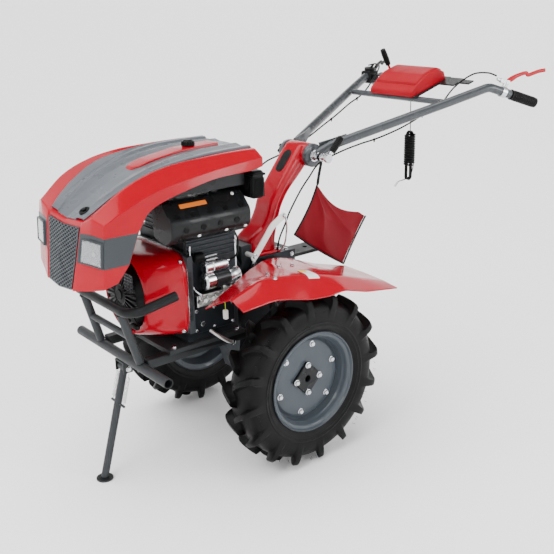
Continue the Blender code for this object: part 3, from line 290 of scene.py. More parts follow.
# Vacuum-metallised reflector behind the lens.
REFLECTOR = Finish("metallised_reflector", "lens", "#8A8D90", "#7C8084", 0.1, Grain.SMOOTH,
                   metallic=1.0)
# Coated nylon taffeta of the tool bag: red, soft sheen, a fine square weave.
BAG_NYLON = Finish("coated_nylon_taffeta_red", "red_fabric", "#780012", "#5A000E", 0.6, Grain.WOVEN,
                   patch_mm=120)
# Polyester binding tape and webbing.
BINDING = Finish("polyester_webbing_black", "rubber", "#0C0C0D", "#121213", 0.7, Grain.WOVEN)
# Grille moulding: graphite ribs over hollows painted near-black by their depth, as painted shade
# where the openings lie in shadow.
GRILLE_ABS = Finish("graphite_abs_grille", "black_plastic", "#4A4E52", "#414549", 0.28,
                    Grain.SMOOTH, relief="#020202")
# Plain vinyl films with nothing printed on them: orange, grey-white and yellow.
FILM_ORANGE = Finish("vinyl_film_orange", "black_paint", "#E0782A", "#D97124", 0.35, Grain.SMOOTH)
FILM_WHITE = Finish("vinyl_film_white", "red_paint", "#E4E5E2", "#D9DAD7", 0.35, Grain.SMOOTH)
FILM_YELLOW = Finish("vinyl_film_yellow", "red_paint", "#E3C52B", "#D8BA25", 0.35, Grain.SMOOTH)
# PVC sheath of the sensor lead: yellow-green.
GREEN_WIRE = Finish("pvc_wire_yellow_green", "rubber", "#9FB43A", "#8CA332", 0.38, Grain.SMOOTH)


# ------------------------------------------------------------------ surfaces
@dataclass
class Surface:
    """Points and faces of one mesh; each face array holds faces with one number of corners."""

    points: Array
    faces: list[Array]

    def mirrored(self) -> "Surface":
        """The same surface on the machine's other side, its faces turned back outwards."""
        return Surface(self.points * (-1.0, 1.0, 1.0), [f[:, ::-1] for f in self.faces])

    def on(self, side: int) -> "Surface":
        """This left-hand surface for side 1, or its mirror image for side -1."""
        return self if side > 0 else self.mirrored()

    def moved(self, origin: Point, axis: Point) -> "Surface":
        """Stand a surface made along +Z at a place, its Z along an axis."""
        return Surface(self.points @ frame_of(axis).T + np.array(origin, float), self.faces)


def label_of(side: int) -> str:
    """Name of a side: 1 is left and -1 is right."""
    return dict(SIDES)[side]


def unit(way: Point) -> Array:
    """A direction brought to length one."""
    return np.array(way, float) / np.linalg.norm(way)


def turns(count: int) -> Array:
    """Angles spread evenly once round."""
    return np.arange(count) / count * TAU


def circle(centre: Point, radius: float, count: int, axis: int = 0, first: float = 0.0) -> Array:
    """Points spread evenly round a circle that faces along X, Y or Z.

    Args:
        centre: middle of the circle.
        radius: its radius.
        count: number of points.
        axis: 0, 1 or 2 for X, Y or Z.
        first: angle of the first point.
    Returns:
        count x 3 array.
    """
    angle = turns(count) + first
    flat = radius * np.stack([np.cos(angle), np.sin(angle)], -1)
    return np.insert(flat, axis, 0.0, axis=1) + centre


def superellipse(angle: Array, power: float) -> tuple[Array, Array]:
    """Cosine and sine pushed out to a superellipse.

    Args:
        angle: angles round it.
        power: 2 for a circle and more for a rounded square.
    Returns:
        The two coordinates at each angle.
    """
    c, s = np.cos(angle), np.sin(angle)
    reach = (np.abs(c) ** power + np.abs(s) ** power) ** (-1 / power)
    return reach * c, reach * s


def sleeve(inner: float, outer: float, low: float, high: float) -> list[Point]:
    """Profile of a plain ring, for revolved() with loop."""
    return [(inner, low), (outer, low), (outer, high), (inner, high)]


def steps_of(route: Array) -> Array:
    """Distance from each point of a route to the next."""
    return np.linalg.norm(np.diff(route, axis=0), axis=1)


def run_of(route: Array) -> Array:
    """Distance along a route at each of its points."""
    return np.concatenate([[0], np.cumsum(steps_of(route))])


def spline(ends: Sequence[Array], t: Array) -> Array:
    """Catmull-Rom curve between the second and third of four points."""
    a, b, c, d = ends
    return 0.5 * (2 * b + (c - a) * t + (2 * a - 5 * b + 4 * c - d) * t ** 2
                  + (3 * b - a - 3 * c + d) * t ** 3)


def border(grid: Array) -> Array:
    """The outer points of a grid, once round from its first corner."""
    return np.concatenate([grid[0, :-1], grid[:-1, -1], grid[-1, :0:-1], grid[:0:-1, 0]])


def frame_of(axis: Point) -> Array:
    """A rotation, as 3 x 3 columns, whose third column is the axis."""
    third = unit(axis)
    first = unit(np.cross(Z if abs(third[2]) < 0.9 else Y, third))
    return np.column_stack([first, np.cross(third, first), third])


def joined(*parts: Surface) -> Surface:
    """Put several surfaces into one, the faces of each counted on from the last."""
    points, faces, start = [], [], 0
    for part in parts:
        points.append(part.points)
        faces += [f + start for f in part.faces]
        start += len(part.points)
    return Surface(np.vstack(points), faces)


def both(part: Surface) -> Surface:
    """A surface and its mirror image."""
    return joined(part, part.mirrored())


def lattice(grid: Array, rows_close: bool = False, columns_close: bool = False) -> Surface:
    """Quads between neighbours of a grid of points.

    Args:
        grid: rows x columns x 3.
        rows_close: the last row joins the first.
        columns_close: the last column joins the first.
    Returns:
        The surface, facing along row direction x column direction.
    """
    rows, columns = grid.shape[:2]
    index = np.arange(rows * columns).reshape(rows, columns)
    if rows_close:
        index = np.vstack([index, index[:1]])
    if columns_close:
        index = np.hstack([index, index[:, :1]])
    quads = np.stack([index[:-1, :-1], index[1:, :-1], index[1:, 1:], index[:-1, 1:]], -1)
    return Surface(grid.reshape(-1, 3), [quads.reshape(-1, 4)])


def revolved(profile: Sequence[Point], origin: Point, axis: Point,
             steps: int = 48, loop: bool = False, flat: int = 0) -> Surface:
    """Turn a profile once round an axis: origin + height * axis + radius * (cos, sin).

    Args:
        profile: (radius, height) points; a radius of 0 closes an end.
        origin: point on the axis.
        axis: its direction.
        steps: columns round it.
        loop: the profile's last point joins its first.
        flat: number of flats, which bring each radius in to a polygon's side; 0 is round.
    Returns:
        The closed surface.
    """
    shape = np.array(profile, float)
    angle = turns(steps)
    scale = np.ones(steps)
    if flat:
        half = math.pi / flat
        scale = math.cos(half) / np.cos((angle % (2 * half)) - half)
    ring = np.stack([np.cos(angle) * scale, np.sin(angle) * scale], -1)
    points = np.empty((len(shape), steps, 3))
    points[..., :2] = shape[:, None, :1] * ring[None]
    points[..., 2] = shape[:, 1:2]
    return lattice(points, loop, True).moved(origin, axis)


def tangents(route: Array) -> Array:
    """Unit directions along a route, from each point's two neighbours."""
    along = np.gradient(route, axis=0)
    return along / np.linalg.norm(along, axis=1, keepdims=True)


def swept(route: Array, radius: float | Array, sides: int = 16, guide: Point = Z,
          squash: float = 1.0) -> Surface:
    """A round section carried along a route, ends closed flat with a softened corner.

    The section's axes are guide x tangent and tangent x that, at every point at once.

    Args:
        route: n x 3 centreline.
        radius: one radius, or one per point.
        sides: columns round the section.
        guide: direction that is never along the route.
        squash: height of the section over its width.
    Returns:
        The closed tube.
    """
    route = np.array(route, float)
    size = np.broadcast_to(np.array(radius, float), (len(route),)).copy()
    head = tangents(route)
    first = np.cross(np.array(guide, float)[None], head)
    first /= np.linalg.norm(first, axis=1, keepdims=True)
    second = np.cross(head, first)
    ends = [0, 0, 0, *range(len(route)), -1, -1, -1]
    shift = np.array([0, 0, 0.15, *[1] * len(route), 0.15, 0, 0], float)
    grow = np.array([0, 0.85, 0.97, *[1] * len(route), 0.97, 0.85, 0], float)
    step = np.minimum(size, np.linalg.norm(route[1] - route[0])) * 0.2
    centre = route[ends].copy()
    centre[2] += head[0] * step[0] * shift[2]
    centre[3] += head[0] * step[0]
    centre[-3] -= head[-1] * step[-1] * shift[-3]
    centre[-4] -= head[-1] * step[-1]
    angle = turns(sides)
    wide = (size[ends] * grow)[:, None, None]
    grid = (centre[:, None]
            + wide * (np.cos(angle)[None, :, None] * first[ends][:, None]
                      + squash * np.sin(angle)[None, :, None] * second[ends][:, None]))
    return lattice(grid, False, True)


def straight(start: Point, end: Point, radius: float, sides: int = 24) -> Surface:
    """A straight round bar between two points, with softened ends.

    Args:
        start: middle of one end.
        end: middle of the other.
        radius: the bar's radius.
        sides: columns round it.
    Returns:
        The closed bar.
    """
    first, last = np.array(start, float), np.array(end, float)
    length = float(np.linalg.norm(last - first))
    soft = min(radius * 0.12, 0.0015)
    inner = radius - soft
    shape = [(0, 0), (inner, 0), (radius, soft), (radius, length - soft), (inner, length),
             (0, length)]
    return revolved(shape, first, last - first, sides)


def curve(points: Sequence[Point], count: int) -> Array:
    """Points spread evenly along a Catmull-Rom curve through the given ones.

    Args:
        points: what it passes through.
        count: how many come back.
    Returns:
        count x 3 array.
    """
    given = np.array(points, float)
    ends = np.vstack([2 * given[0] - given[1], given, 2 * given[-1] - given[-2]])
    t = np.linspace(0, 1, 24, endpoint=False)[None, :, None]
    dense = spline([ends[i:len(ends) - 3 + i][:, None] for i in range(4)], t)
    dense = np.vstack([dense.reshape(-1, 3), given[-1:]])
    run = run_of(dense)
    even = np.linspace(0, run[-1], count)
    return np.stack([np.interp(even, run, dense[:, k]) for k in range(3)], -1)


def bent(corners: Sequence[Point], radius: float, steps: int = 10) -> Array:
    """Straight runs whose corners are arcs of one radius, as a tube bender leaves them.

    Args:
        corners: the route's corner points.
        radius: bend radius at the centreline.
        steps: points in each arc.
    Returns:
        n x 3 centreline.
    """
    spots = np.array(corners, float)
    route = [spots[:1]]
    for before, corner, after in zip(spots, spots[1:], spots[2:]):
        back, ahead = unit(before - corner), unit(after - corner)
        half = math.acos(float(np.clip(back @ ahead, -1, 1))) / 2
        middle = corner + (back + ahead) / np.linalg.norm(back + ahead) * radius / math.sin(half)
        first = corner + back * radius / math.tan(half) - middle
        last = corner + ahead * radius / math.tan(half) - middle
        span = math.pi - 2 * half
        t = np.linspace(0, 1, steps)[:, None]
        route.append(middle
                     + (np.sin((1 - t) * span) * first + np.sin(t * span) * last) / math.sin(span))
    route.append(spots[-1:])
    line = np.vstack(route)
    pieces = [np.linspace(p, q, max(int(np.linalg.norm(q - p) / 0.02), 1), endpoint=False)
              for p, q in zip(line, line[1:])]
    return np.vstack(pieces + [line[-1:]])


def rounded_box(low: Point, high: Point, radius: float, steps: int = 3) -> Surface:
    """A box whose edges and corners are parts of a ball: corner centre + radius * direction.

    Args:
        low: lowest corner.
        high: highest corner.
        radius: radius of the edges.
        steps: faces across each rounding.
    Returns:
        The closed surface.
    """
    a, b = np.array(low, float), np.array(high, float)
    half = (b - a) / 2
    radius = min(radius, float(half.min()) * 0.98)
    quarter = np.linspace(0, math.pi / 2, steps + 1)
    around = np.concatenate([quarter + k * math.pi / 2 for k in range(4)])
    sx = np.repeat((1, -1, -1, 1), steps + 1)
    sy = np.repeat((1, 1, -1, -1), steps + 1)
    tilt = np.concatenate([quarter - math.pi / 2, quarter])
    sz = np.repeat((-1, 1), steps + 1)
    core = half - radius
    grid = np.empty((len(tilt) + 2, len(around), 3))
    grid[1:-1, :, 0] = sx * core[0] + radius * np.cos(tilt)[:, None] * np.cos(around)
    grid[1:-1, :, 1] = sy * core[1] + radius * np.cos(tilt)[:, None] * np.sin(around)
    grid[1:-1, :, 2] = (sz * core[2] + radius * np.sin(tilt))[:, None]
    grid[0] = (0, 0, -half[2])
    grid[-1] = (0, 0, half[2])
    return shifted(lattice(grid, False, True), (a + b) / 2)


def shifted(part: Surface, by: Array) -> Surface:
    """A surface moved without turning."""
    return Surface(part.points + by, part.faces)


def slab(outline: Sequence[Point], thickness: float, origin: Point,
         right: Point, up: Point, soft: float = 0.001) -> Surface:
    """A flat outline with a thickness, its edges eased by insetting the two faces.

    Args:
        outline: (right, up) points, counter-clockwise seen from right x up.
        thickness: across the plate, centred on its plane.
        origin: where the outline's zero lies.
        right: direction of the first number.
        up: direction of the second.
        soft: how much the edges are eased.
    Returns:
        The closed plate.
    """
    flat = np.array(outline, float)
    ahead = np.roll(flat, -1, 0) - flat
    behind = flat - np.roll(flat, 1, 0)
    normal = np.stack([ahead[:, 1], -ahead[:, 0]], -1) / np.linalg.norm(
        ahead, axis=1, keepdims=True)
    normal += np.stack([behind[:, 1], -behind[:, 0]], -1) / np.linalg.norm(
        behind, axis=1, keepdims=True)
    normal /= np.linalg.norm(normal, axis=1, keepdims=True)
    inset = flat - normal * soft
    half = thickness / 2
    rings = [(inset, -half), (flat, -half + soft), (flat, half - soft), (inset, half)]
    one, two = np.array(right, float), np.array(up, float)
    three = np.cross(one, two)
    grid = np.stack([ring[:, :1] * one + ring[:, 1:] * two + level * three
                     for ring, level in rings])
    side = lattice(grid + np.array(origin, float), False, True)
    count = len(flat)
    low, high = np.arange(count)[None, ::-1], (np.arange(count) + 3 * count)[None]
    return Surface(side.points, side.faces + [low, high])


def round_outline(corners: Sequence[Point], radius: float, steps: int = 4) -> list[tuple]:
    """A closed outline whose corners are rounded by quadratic curves.

    Args:
        corners: flat corner points.
        radius: how far from each corner its curve starts.
        steps: sides across each.
    Returns:
        The outline's points.
    """
    spots = np.array(corners, float)
    out = []
    for before, corner, after in zip(np.roll(spots, 1, 0), spots, np.roll(spots, -1, 0)):
        back, ahead = before - corner, after - corner
        reach = min(radius, np.linalg.norm(back) * 0.45, np.linalg.norm(ahead) * 0.45)
        first = corner + back / np.linalg.norm(back) * reach
        last = corner + ahead / np.linalg.norm(ahead) * reach
        for t in np.linspace(0, 1, steps + 1):
            out.append(tuple((1 - t) ** 2 * first + 2 * t * (1 - t) * corner + t * t * last))
    return out


def bolt(origin: Point, axis: Point, across: float = 0.013) -> Surface:
    """A hexagon head with a chamfer, on its washer.

    Args:
        origin: where the axis meets the seat.
        axis: direction that the head faces.
        across: width over the flats.
    Returns:
        Head and washer.
    """
    radius = across / 2 / math.cos(math.pi / 6)
    rise = across * 0.42
    disc = radius * 1.25
    lift = 0.0014
    plate = revolved([(0, -0.001), (disc, -0.001), (disc, lift * 0.8), (disc * 0.96, lift),
                      (0, lift)], origin, axis, 16)
    head = revolved([(radius * 0.98, lift), (radius, lift + rise * 0.8),
                     (radius * 0.86, lift + rise), (0, lift + rise)], origin, axis, 12, flat=6)
    return joined(plate, head)


def bolts(spots: Sequence[Point], axis: Point, across: float = 0.013) -> Surface:
    """Several bolts that face one way."""
    return joined(*[bolt(spot, axis, across) for spot in spots])


def eased(grid: Array, corners: Sequence[int], reach: float, steps: int = 4) -> Array:
    """Round the folds of a grid along its rows: each becomes a quadratic curve between its sides.

    Args:
        grid: rows x columns x 3.
        corners: columns that are folds.
        reach: how far along each side the curve starts.
        steps: faces across each.
    Returns:
        The grid with more columns.
    """
    columns = []
    for k in range(grid.shape[1]):
        if k not in corners:
            columns.append(grid[:, k:k + 1])
            continue
        corner = grid[:, k]
        ways = []
        for other in (k - 1, k + 1):
            way = grid[:, other] - corner
            length = np.linalg.norm(way, axis=1, keepdims=True)
            ways.append(corner + way / np.maximum(length, 1e-9) * np.minimum(reach, length * 0.42))
        t = np.linspace(0, 1, steps + 1)[None, :, None]
        first, last = ways[0][:, None], ways[1][:, None]
        columns.append((1 - t) ** 2 * first + 2 * t * (1 - t) * corner[:, None] + t * t * last)
    return np.concatenate(columns, 1)


def outward(grid: Array) -> Array:
    """Unit normals of a grid: row direction x column direction."""
    cross = np.cross(np.gradient(grid, axis=0), np.gradient(grid, axis=1))
    return cross / np.maximum(np.linalg.norm(cross, axis=-1, keepdims=True), 1e-12)


def capped(grid: Array) -> Surface:
    """A tube of rings, closed at both ends by fans about the end rings' middles."""
    ends = [np.broadcast_to(ring.mean(0), ring.shape)[None] for ring in (grid[0], grid[-1])]
    return lattice(np.concatenate([ends[0], grid, ends[1]]), False, True)


def thick(grid: Array, wall: float) -> Surface:
    """A closed sheet: the grid, a copy a wall below it along its normals, and the rim between.

    Args:
        grid: outer face, rows x columns x 3.
        wall: thickness.
    Returns:
        The closed surface.
    """
    back = grid - outward(grid) * wall
    rows, columns = grid.shape[:2]
    index = np.arange(rows * columns).reshape(rows, columns)
    rim = border(index)
    ahead = np.roll(rim, -1)
    total = rows * columns
    face = lattice(grid)
    behind = lattice(back)
    edge = np.stack([rim, ahead, ahead + total, rim + total], -1)
    return Surface(np.vstack([face.points, behind.points]),
                   [face.faces[0], behind.faces[0][:, ::-1] + total, edge])


def between(grid: Array, rows: Array, columns: Array) -> Array:
    """Read a grid at broken row and column numbers, straight between its points.

    Args:
        grid: rows x columns x 3.
        rows: row numbers.
        columns: column numbers.
    Returns:
        A grid with a point for every pair of numbers.
    """
    r0 = np.clip(rows.astype(int), 0, grid.shape[0] - 2)
    c0 = np.clip(columns.astype(int), 0, grid.shape[1] - 2)
    fr, fc = (rows - r0)[:, None, None], (columns - c0)[None, :, None]
    top = grid[r0][:, c0] * (1 - fc) + grid[r0][:, c0 + 1] * fc
    low = grid[r0 + 1][:, c0] * (1 - fc) + grid[r0 + 1][:, c0 + 1] * fc
    return top * (1 - fr) + low * fr


# ------------------------------------------------------------------ pieces
def put(name: str, part: Surface, finish: Finish, body: str, replaces: Sequence[str] = (),
        sharp: float = 35.0, smooth: int = 0, relief: Array | None = None,
        body_b: str = "") -> bpy.types.Object:
    """Make one finished piece in the shared frame, give it its material and hang it on its body.

    Args:
        name: the piece's name.
        part: its surface, in the machine's frame.
        finish: its material.
        body: the body that it rides on.
        replaces: CAD nodes that it stands for.
        sharp: edges steeper than this, in degrees, stay sharp.
        smooth: levels of subdivision, or 0.
        relief: a depth for each point, which the material turns into painted shade in the hollows.
        body_b: second body of a piece that runs between two; such a piece is left in the shared
            frame and hung on neither.
    Returns:
        The object.
    """
    mesh = bpy.data.meshes.new(name)
    points = part.points + AXLE
    corners = np.concatenate([f.ravel() for f in part.faces]).astype(np.int32)
    sizes = np.concatenate([np.full(len(f), f.shape[1]) for f in part.faces]).astype(np.int32)
    mesh.vertices.add(len(points))
    mesh.vertices.foreach_set("co", points.ravel())
    mesh.loops.add(len(corners))
    mesh.loops.foreach_set("vertex_index", corners)
    mesh.polygons.add(len(sizes))
    starts = np.concatenate([[0], np.cumsum(sizes)[:-1]]).astype(np.int32)
    mesh.polygons.foreach_set("loop_start", starts)
    mesh.update(calc_edges=True)
    if relief is not None:
        layer = mesh.attributes.new("relief", "FLOAT", "POINT")
        layer.data.foreach_set("value", relief.astype(np.float32))
    work = bmesh.new()
    work.from_mesh(mesh)
    bmesh.ops.remove_doubles(work, verts=work.verts, dist=MERGE)
    bmesh.ops.dissolve_degenerate(work, edges=work.edges, dist=SLIVER)
    if work.calc_volume(signed=True) < 0:
        bmesh.ops.reverse_faces(work, faces=work.faces)
    work.to_mesh(mesh)
    work.free()
    mesh.validate()
    return hang(name, mesh, finish, body, replaces, sharp, 0.0, smooth, body_b)


def linked(name: str, data: bpy.types.ID | None) -> bpy.types.Object:
    """Make an object of some data, or an empty, and put it in the scene."""
    obj = bpy.data.objects.new(name, data)
    bpy.context.scene.collection.objects.link(obj)
    return obj


def hang(name: str, mesh: bpy.types.Mesh, finish: Finish, body: str, replaces: Sequence[str],
         sharp: float, bevel: float, smooth: int = 0, body_b: str = "") -> bpy.types.Object:
    """Args:
        name: the piece's name.
        mesh: its mesh, in the shared frame.
        finish, body, replaces, sharp, smooth, body_b: as for put().
        bevel: width of an edge rounding, or 0.
    Returns:
        The object.
    """
    obj = linked(name, mesh)
    obj.data.materials.append(finish.material())
    obj.data.shade_smooth()
    obj.data.set_sharp_from_angle(angle=math.radians(sharp))
    if bevel:
        step = obj.modifiers.new("edges", "BEVEL")
        step.width = bevel
        step.segments = 2
        step.limit_method = "ANGLE"
        step.angle_limit = BEVEL_FROM
    if smooth:
        step = obj.modifiers.new("smooth", "SUBSURF")
        step.levels = step.render_levels = smooth
    if body_b:
        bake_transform(obj)
    else:
        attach(obj, body)
    if replaces:
        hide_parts(*replaces)
    LOG.info("%s: %d faces on %s", obj.name, len(obj.data.polygons), body)
    return obj


def soft_copy(node: str, name: str, finish: Finish, body: str, bevel: float) -> bpy.types.Object:
    """Stand a copy of a CAD node in for it, with its flat faces made whole and its edges rounded.

    Args:
        node: the CAD node.
        name: the new piece's name.
        finish: its material.
        body: body that it rides on.
        bevel: width of the rounding.
    Returns:
        The new object.
    """
    mesh = FRAME["nodes"][node].data.copy()
    mesh.name = name
    mesh.materials.clear()
    work = bmesh.new()
    work.from_mesh(mesh)
    bmesh.ops.remove_doubles(work, verts=work.verts, dist=CAD_MERGE)
    bmesh.ops.dissolve_limit(work, angle_limit=math.radians(1.0), verts=work.verts,
                             edges=work.edges)
    work.to_mesh(mesh)
    work.free()
    return hang(name, mesh, finish, body, [node], 32.0, bevel)


# ------------------------------------------------------------------ wheels
@dataclass
class Wheel:
    """Lugged tyre, dished rim and square hub plate of one wheel, made for the left side."""

    side: int
    plane: float = 0.3135
    height: float = 0.295
    lugs: int = 16
    lean: float = math.radians(12.0)
    hub_face: float = 0.0148
    vent_count: int = 46
    carcass: tuple = ((0.271, 0.0), (0.271, 0.003), (0.2709, 0.0065), (0.27, 0.018),
                      (0.2685, 0.028), (0.2655, 0.038), (0.261, 0.047), (0.255, 0.0535),
                      (0.248, 0.058), (0.24, 0.0605), (0.231, 0.0622), (0.222, 0.063),
                      (0.212, 0.063), (0.206, 0.0624), (0.2045, 0.0634), (0.2015, 0.0634),
                      (0.2, 0.0619), (0.193, 0.0606), (0.1915, 0.0612), (0.1895, 0.0605),
                      (0.182, 0.0575), (0.176, 0.0545), (0.1715, 0.054), (0.169, 0.05),
                      (0.16, 0.047), (0.1545, 0.044), (0.152, 0.03))
    crown: tuple = ((0.271, 0.0), (0.271, 0.003), (0.2945, 0.0045), (0.2948, 0.019), (0.294, 0.031),
                    (0.2925, 0.043), (0.2895, 0.054), (0.283, 0.062), (0.27, 0.0655),
                    (0.255, 0.0665), (0.24, 0.0655), (0.225, 0.064))

    def name(self, part: str) -> str:
        """Name of one of this wheel's pieces."""
        return f"{part}_{label_of(self.side)}"

    def spot(self, radius: float, angle: float, out: float) -> tuple[float, float, float]:
        """A point at a radius and angle about the axle, some way out from the wheel's plane."""
        return self.plane + out, -radius * math.cos(angle), self.height + radius * math.sin(angle)

    def tyre(self) -> Surface:
        """Carcass and lugs as one height field round the wheel.

        Each row is a station of the cross-section, each column an angle. A point lies between
        the carcass and the lug's crown by a mask that is 1 on a lug. Columns lean with the lugs,
        so each lug's edge runs along a column, and lugs alternate between the two sides.

        Returns:
            The closed surface.
        """
        base = np.array(self.carcass)
        top = base.copy()
        top[:len(self.crown)] = self.crown
        reach = len(self.crown)
        share = np.clip(np.arange(len(base)) / (reach - 4), 0, 1)
        lean = self.lean * np.sin(share * math.pi / 2)
        widen = 1.0 + 0.25 * share + 0.5 * np.clip((np.arange(len(base)) - reach + 5) / 5, 0, 1)
        phases = np.array([0, 0.12, 0.245, 0.275, 0.345, 0.38, 0.5, 0.62, 0.655, 0.725, 0.755,
                           0.88]) - 0.5
        mask = np.array([0, 0, 0, 0.06, 0.94, 1, 1, 1, 0.94, 0.06, 0, 0], float)
        step = math.pi / self.lugs
        half = np.arange(2 * self.lugs)
        edge = 0.255  # half a lug's width, as a share of the pitch
        away = np.abs(phases)[None]
        wide = widen[:, None]
        spread = np.where(away <= edge, away * wide,
                          edge * wide + (away - edge) * (0.5 - edge * wide) / (0.5 - edge))
        spread *= np.sign(phases)
        angle = (half[None, :, None] + 0.5 + spread[:, None, :]) * step + lean[:, None, None]
        rows = []
        for parity, sign in ((0, 1.0), (1, -1.0)):
            on = (half % 2 == parity)[None, :, None] * mask[None, None, :]
            on = np.broadcast_to(on, angle.shape)
            radius = base[:, 0, None, None] + (top[:, 0] - base[:, 0])[:, None, None] * on
            across = base[:, 1, None, None] + (top[:, 1] - base[:, 1])[:, None, None] * on
            grid = np.stack([self.plane + sign * across, -radius * np.cos(angle),
                             self.height + radius * np.sin(angle)], -1).reshape(len(base), -1, 3)
            rows.append(grid)
        return lattice(np.concatenate([rows[0], rows[1][:0:-1]]), True, True)

    def rim(self) -> Surface:
        """Pressed rim: a dished disc with a raised ring, welded in a drop-centre barrel."""
        shape = [(0.02, 0.0105), (0.02, 0.0145), (0.1, 0.0145), (0.104, 0.015), (0.126, 0.015),
                 (0.13, 0.0142), (0.133, 0.011), (0.137, 0.008), (0.1415, 0.008), (0.144, 0.012),
                 (0.145, 0.026), (0.146, 0.03), (0.15, 0.0345), (0.151, 0.044), (0.153, 0.049),
                 (0.159, 0.0515), (0.165, 0.052), (0.169, 0.0535), (0.1705, 0.056),
                 (0.1695, 0.0585), (0.1672, 0.059), (0.1658, 0.0575), (0.165, 0.0555),
                 (0.16, 0.055)]
        back = [(0.149, 0.03), (0.148, -0.03), (0.152, -0.05), (0.169, -0.052), (0.1705, -0.056),
                (0.1672, -0.059), (0.164, -0.055), (0.15, -0.052), (0.145, -0.03), (0.144, 0.004),
                (0.14, 0.0045), (0.13, 0.0095), (0.104, 0.0105)]
        return revolved(shape[:-1] + back, (self.plane, 0, self.height), X, 120, loop=True)

    def hub(self) -> Surface:
        """Square plate round a bore: rows run from the bore's circle out to the square's side."""
        columns = 72
        angle = turns(columns)
        square = 1 / np.maximum(np.abs(np.cos(angle)), np.abs(np.sin(angle)))
        square = np.minimum(square, 1.34)
        half, face = 0.0425, self.hub_face
        # round radius, half side of the square, distance out
        levels = [(0.011, 0, -0.06), (0.011, 0, face + 0.008), (0.0125, 0, face + 0.0095),
                  (0, half - 0.0012, face + 0.0095), (0, half, face + 0.0083), (0, half, face),
                  (0.028, 0, face), (0.028, 0, -0.118), (0.012, 0, -0.118)]
        corner = angle + math.pi / 4
        rows = [np.stack([np.full(columns, x), (r + s * square) * np.cos(corner),
                          (r + s * square) * np.sin(corner)], -1) for r, s, x in levels]
        return shifted(lattice(np.stack(rows), True, True), np.array((self.plane, 0, self.height)))

    def fixings(self) -> Surface:
        """Six rim bolts round the disc and four hub bolts on the square's corners."""
        rim = circle((self.plane + 0.015, 0, self.height), 0.1165, 6, first=0.3)
        square = circle((self.plane + self.hub_face + 0.0095, 0, self.height), 0.048, 4)
        return bolts([*rim, *square], X, 0.0145)

    def sprues(self) -> Surface:
        """Vent hairs that the mould leaves on the lugs and the shoulder."""
        rng = np.random.default_rng(7)
        hairs = []
        for _ in range(self.vent_count):
            a = rng.uniform(0, TAU)
            radius, out = (0.236, 0.064) if rng.random() < 0.5 else (0.268, 0.058)
            base = np.array(self.spot(radius, a, out))
            way = np.array((rng.uniform(0.4, 1), -math.cos(a) * 0.8,
                            math.sin(a) * 0.8)) + rng.normal(0, 0.35, 3)
            way /= np.linalg.norm(way)
            length = rng.uniform(0.006, 0.014)
            hairs.append(swept(np.stack([base, base + way * length * 0.5, base + way * length]),
                               0.0005, 5, guide=(0.3, 0.2, 0.9)))
        return joined(*hairs)

    def build(self) -> None:
        """Make and dress every piece of this wheel."""
        for name, part, finish, node, sharp in (
                ("lugged_tyre", self.tyre(), TYRE_RUBBER, "tyre", 38),
                ("dished_rim", self.rim(), WHEEL_ENAMEL, "rim", 50),
                ("hub_plate", self.hub(), STOVE_BLACK, "hub", 35),
                ("wheel_bolts", self.fixings(), ZINC, "", 35),
                ("vent_hairs", self.sprues(), TYRE_RUBBER, "", 35)):
            put(self.name(name), part.on(self.side), finish, self.name("wheel"),
                [self.name(node)] if node else [], sharp=sharp)


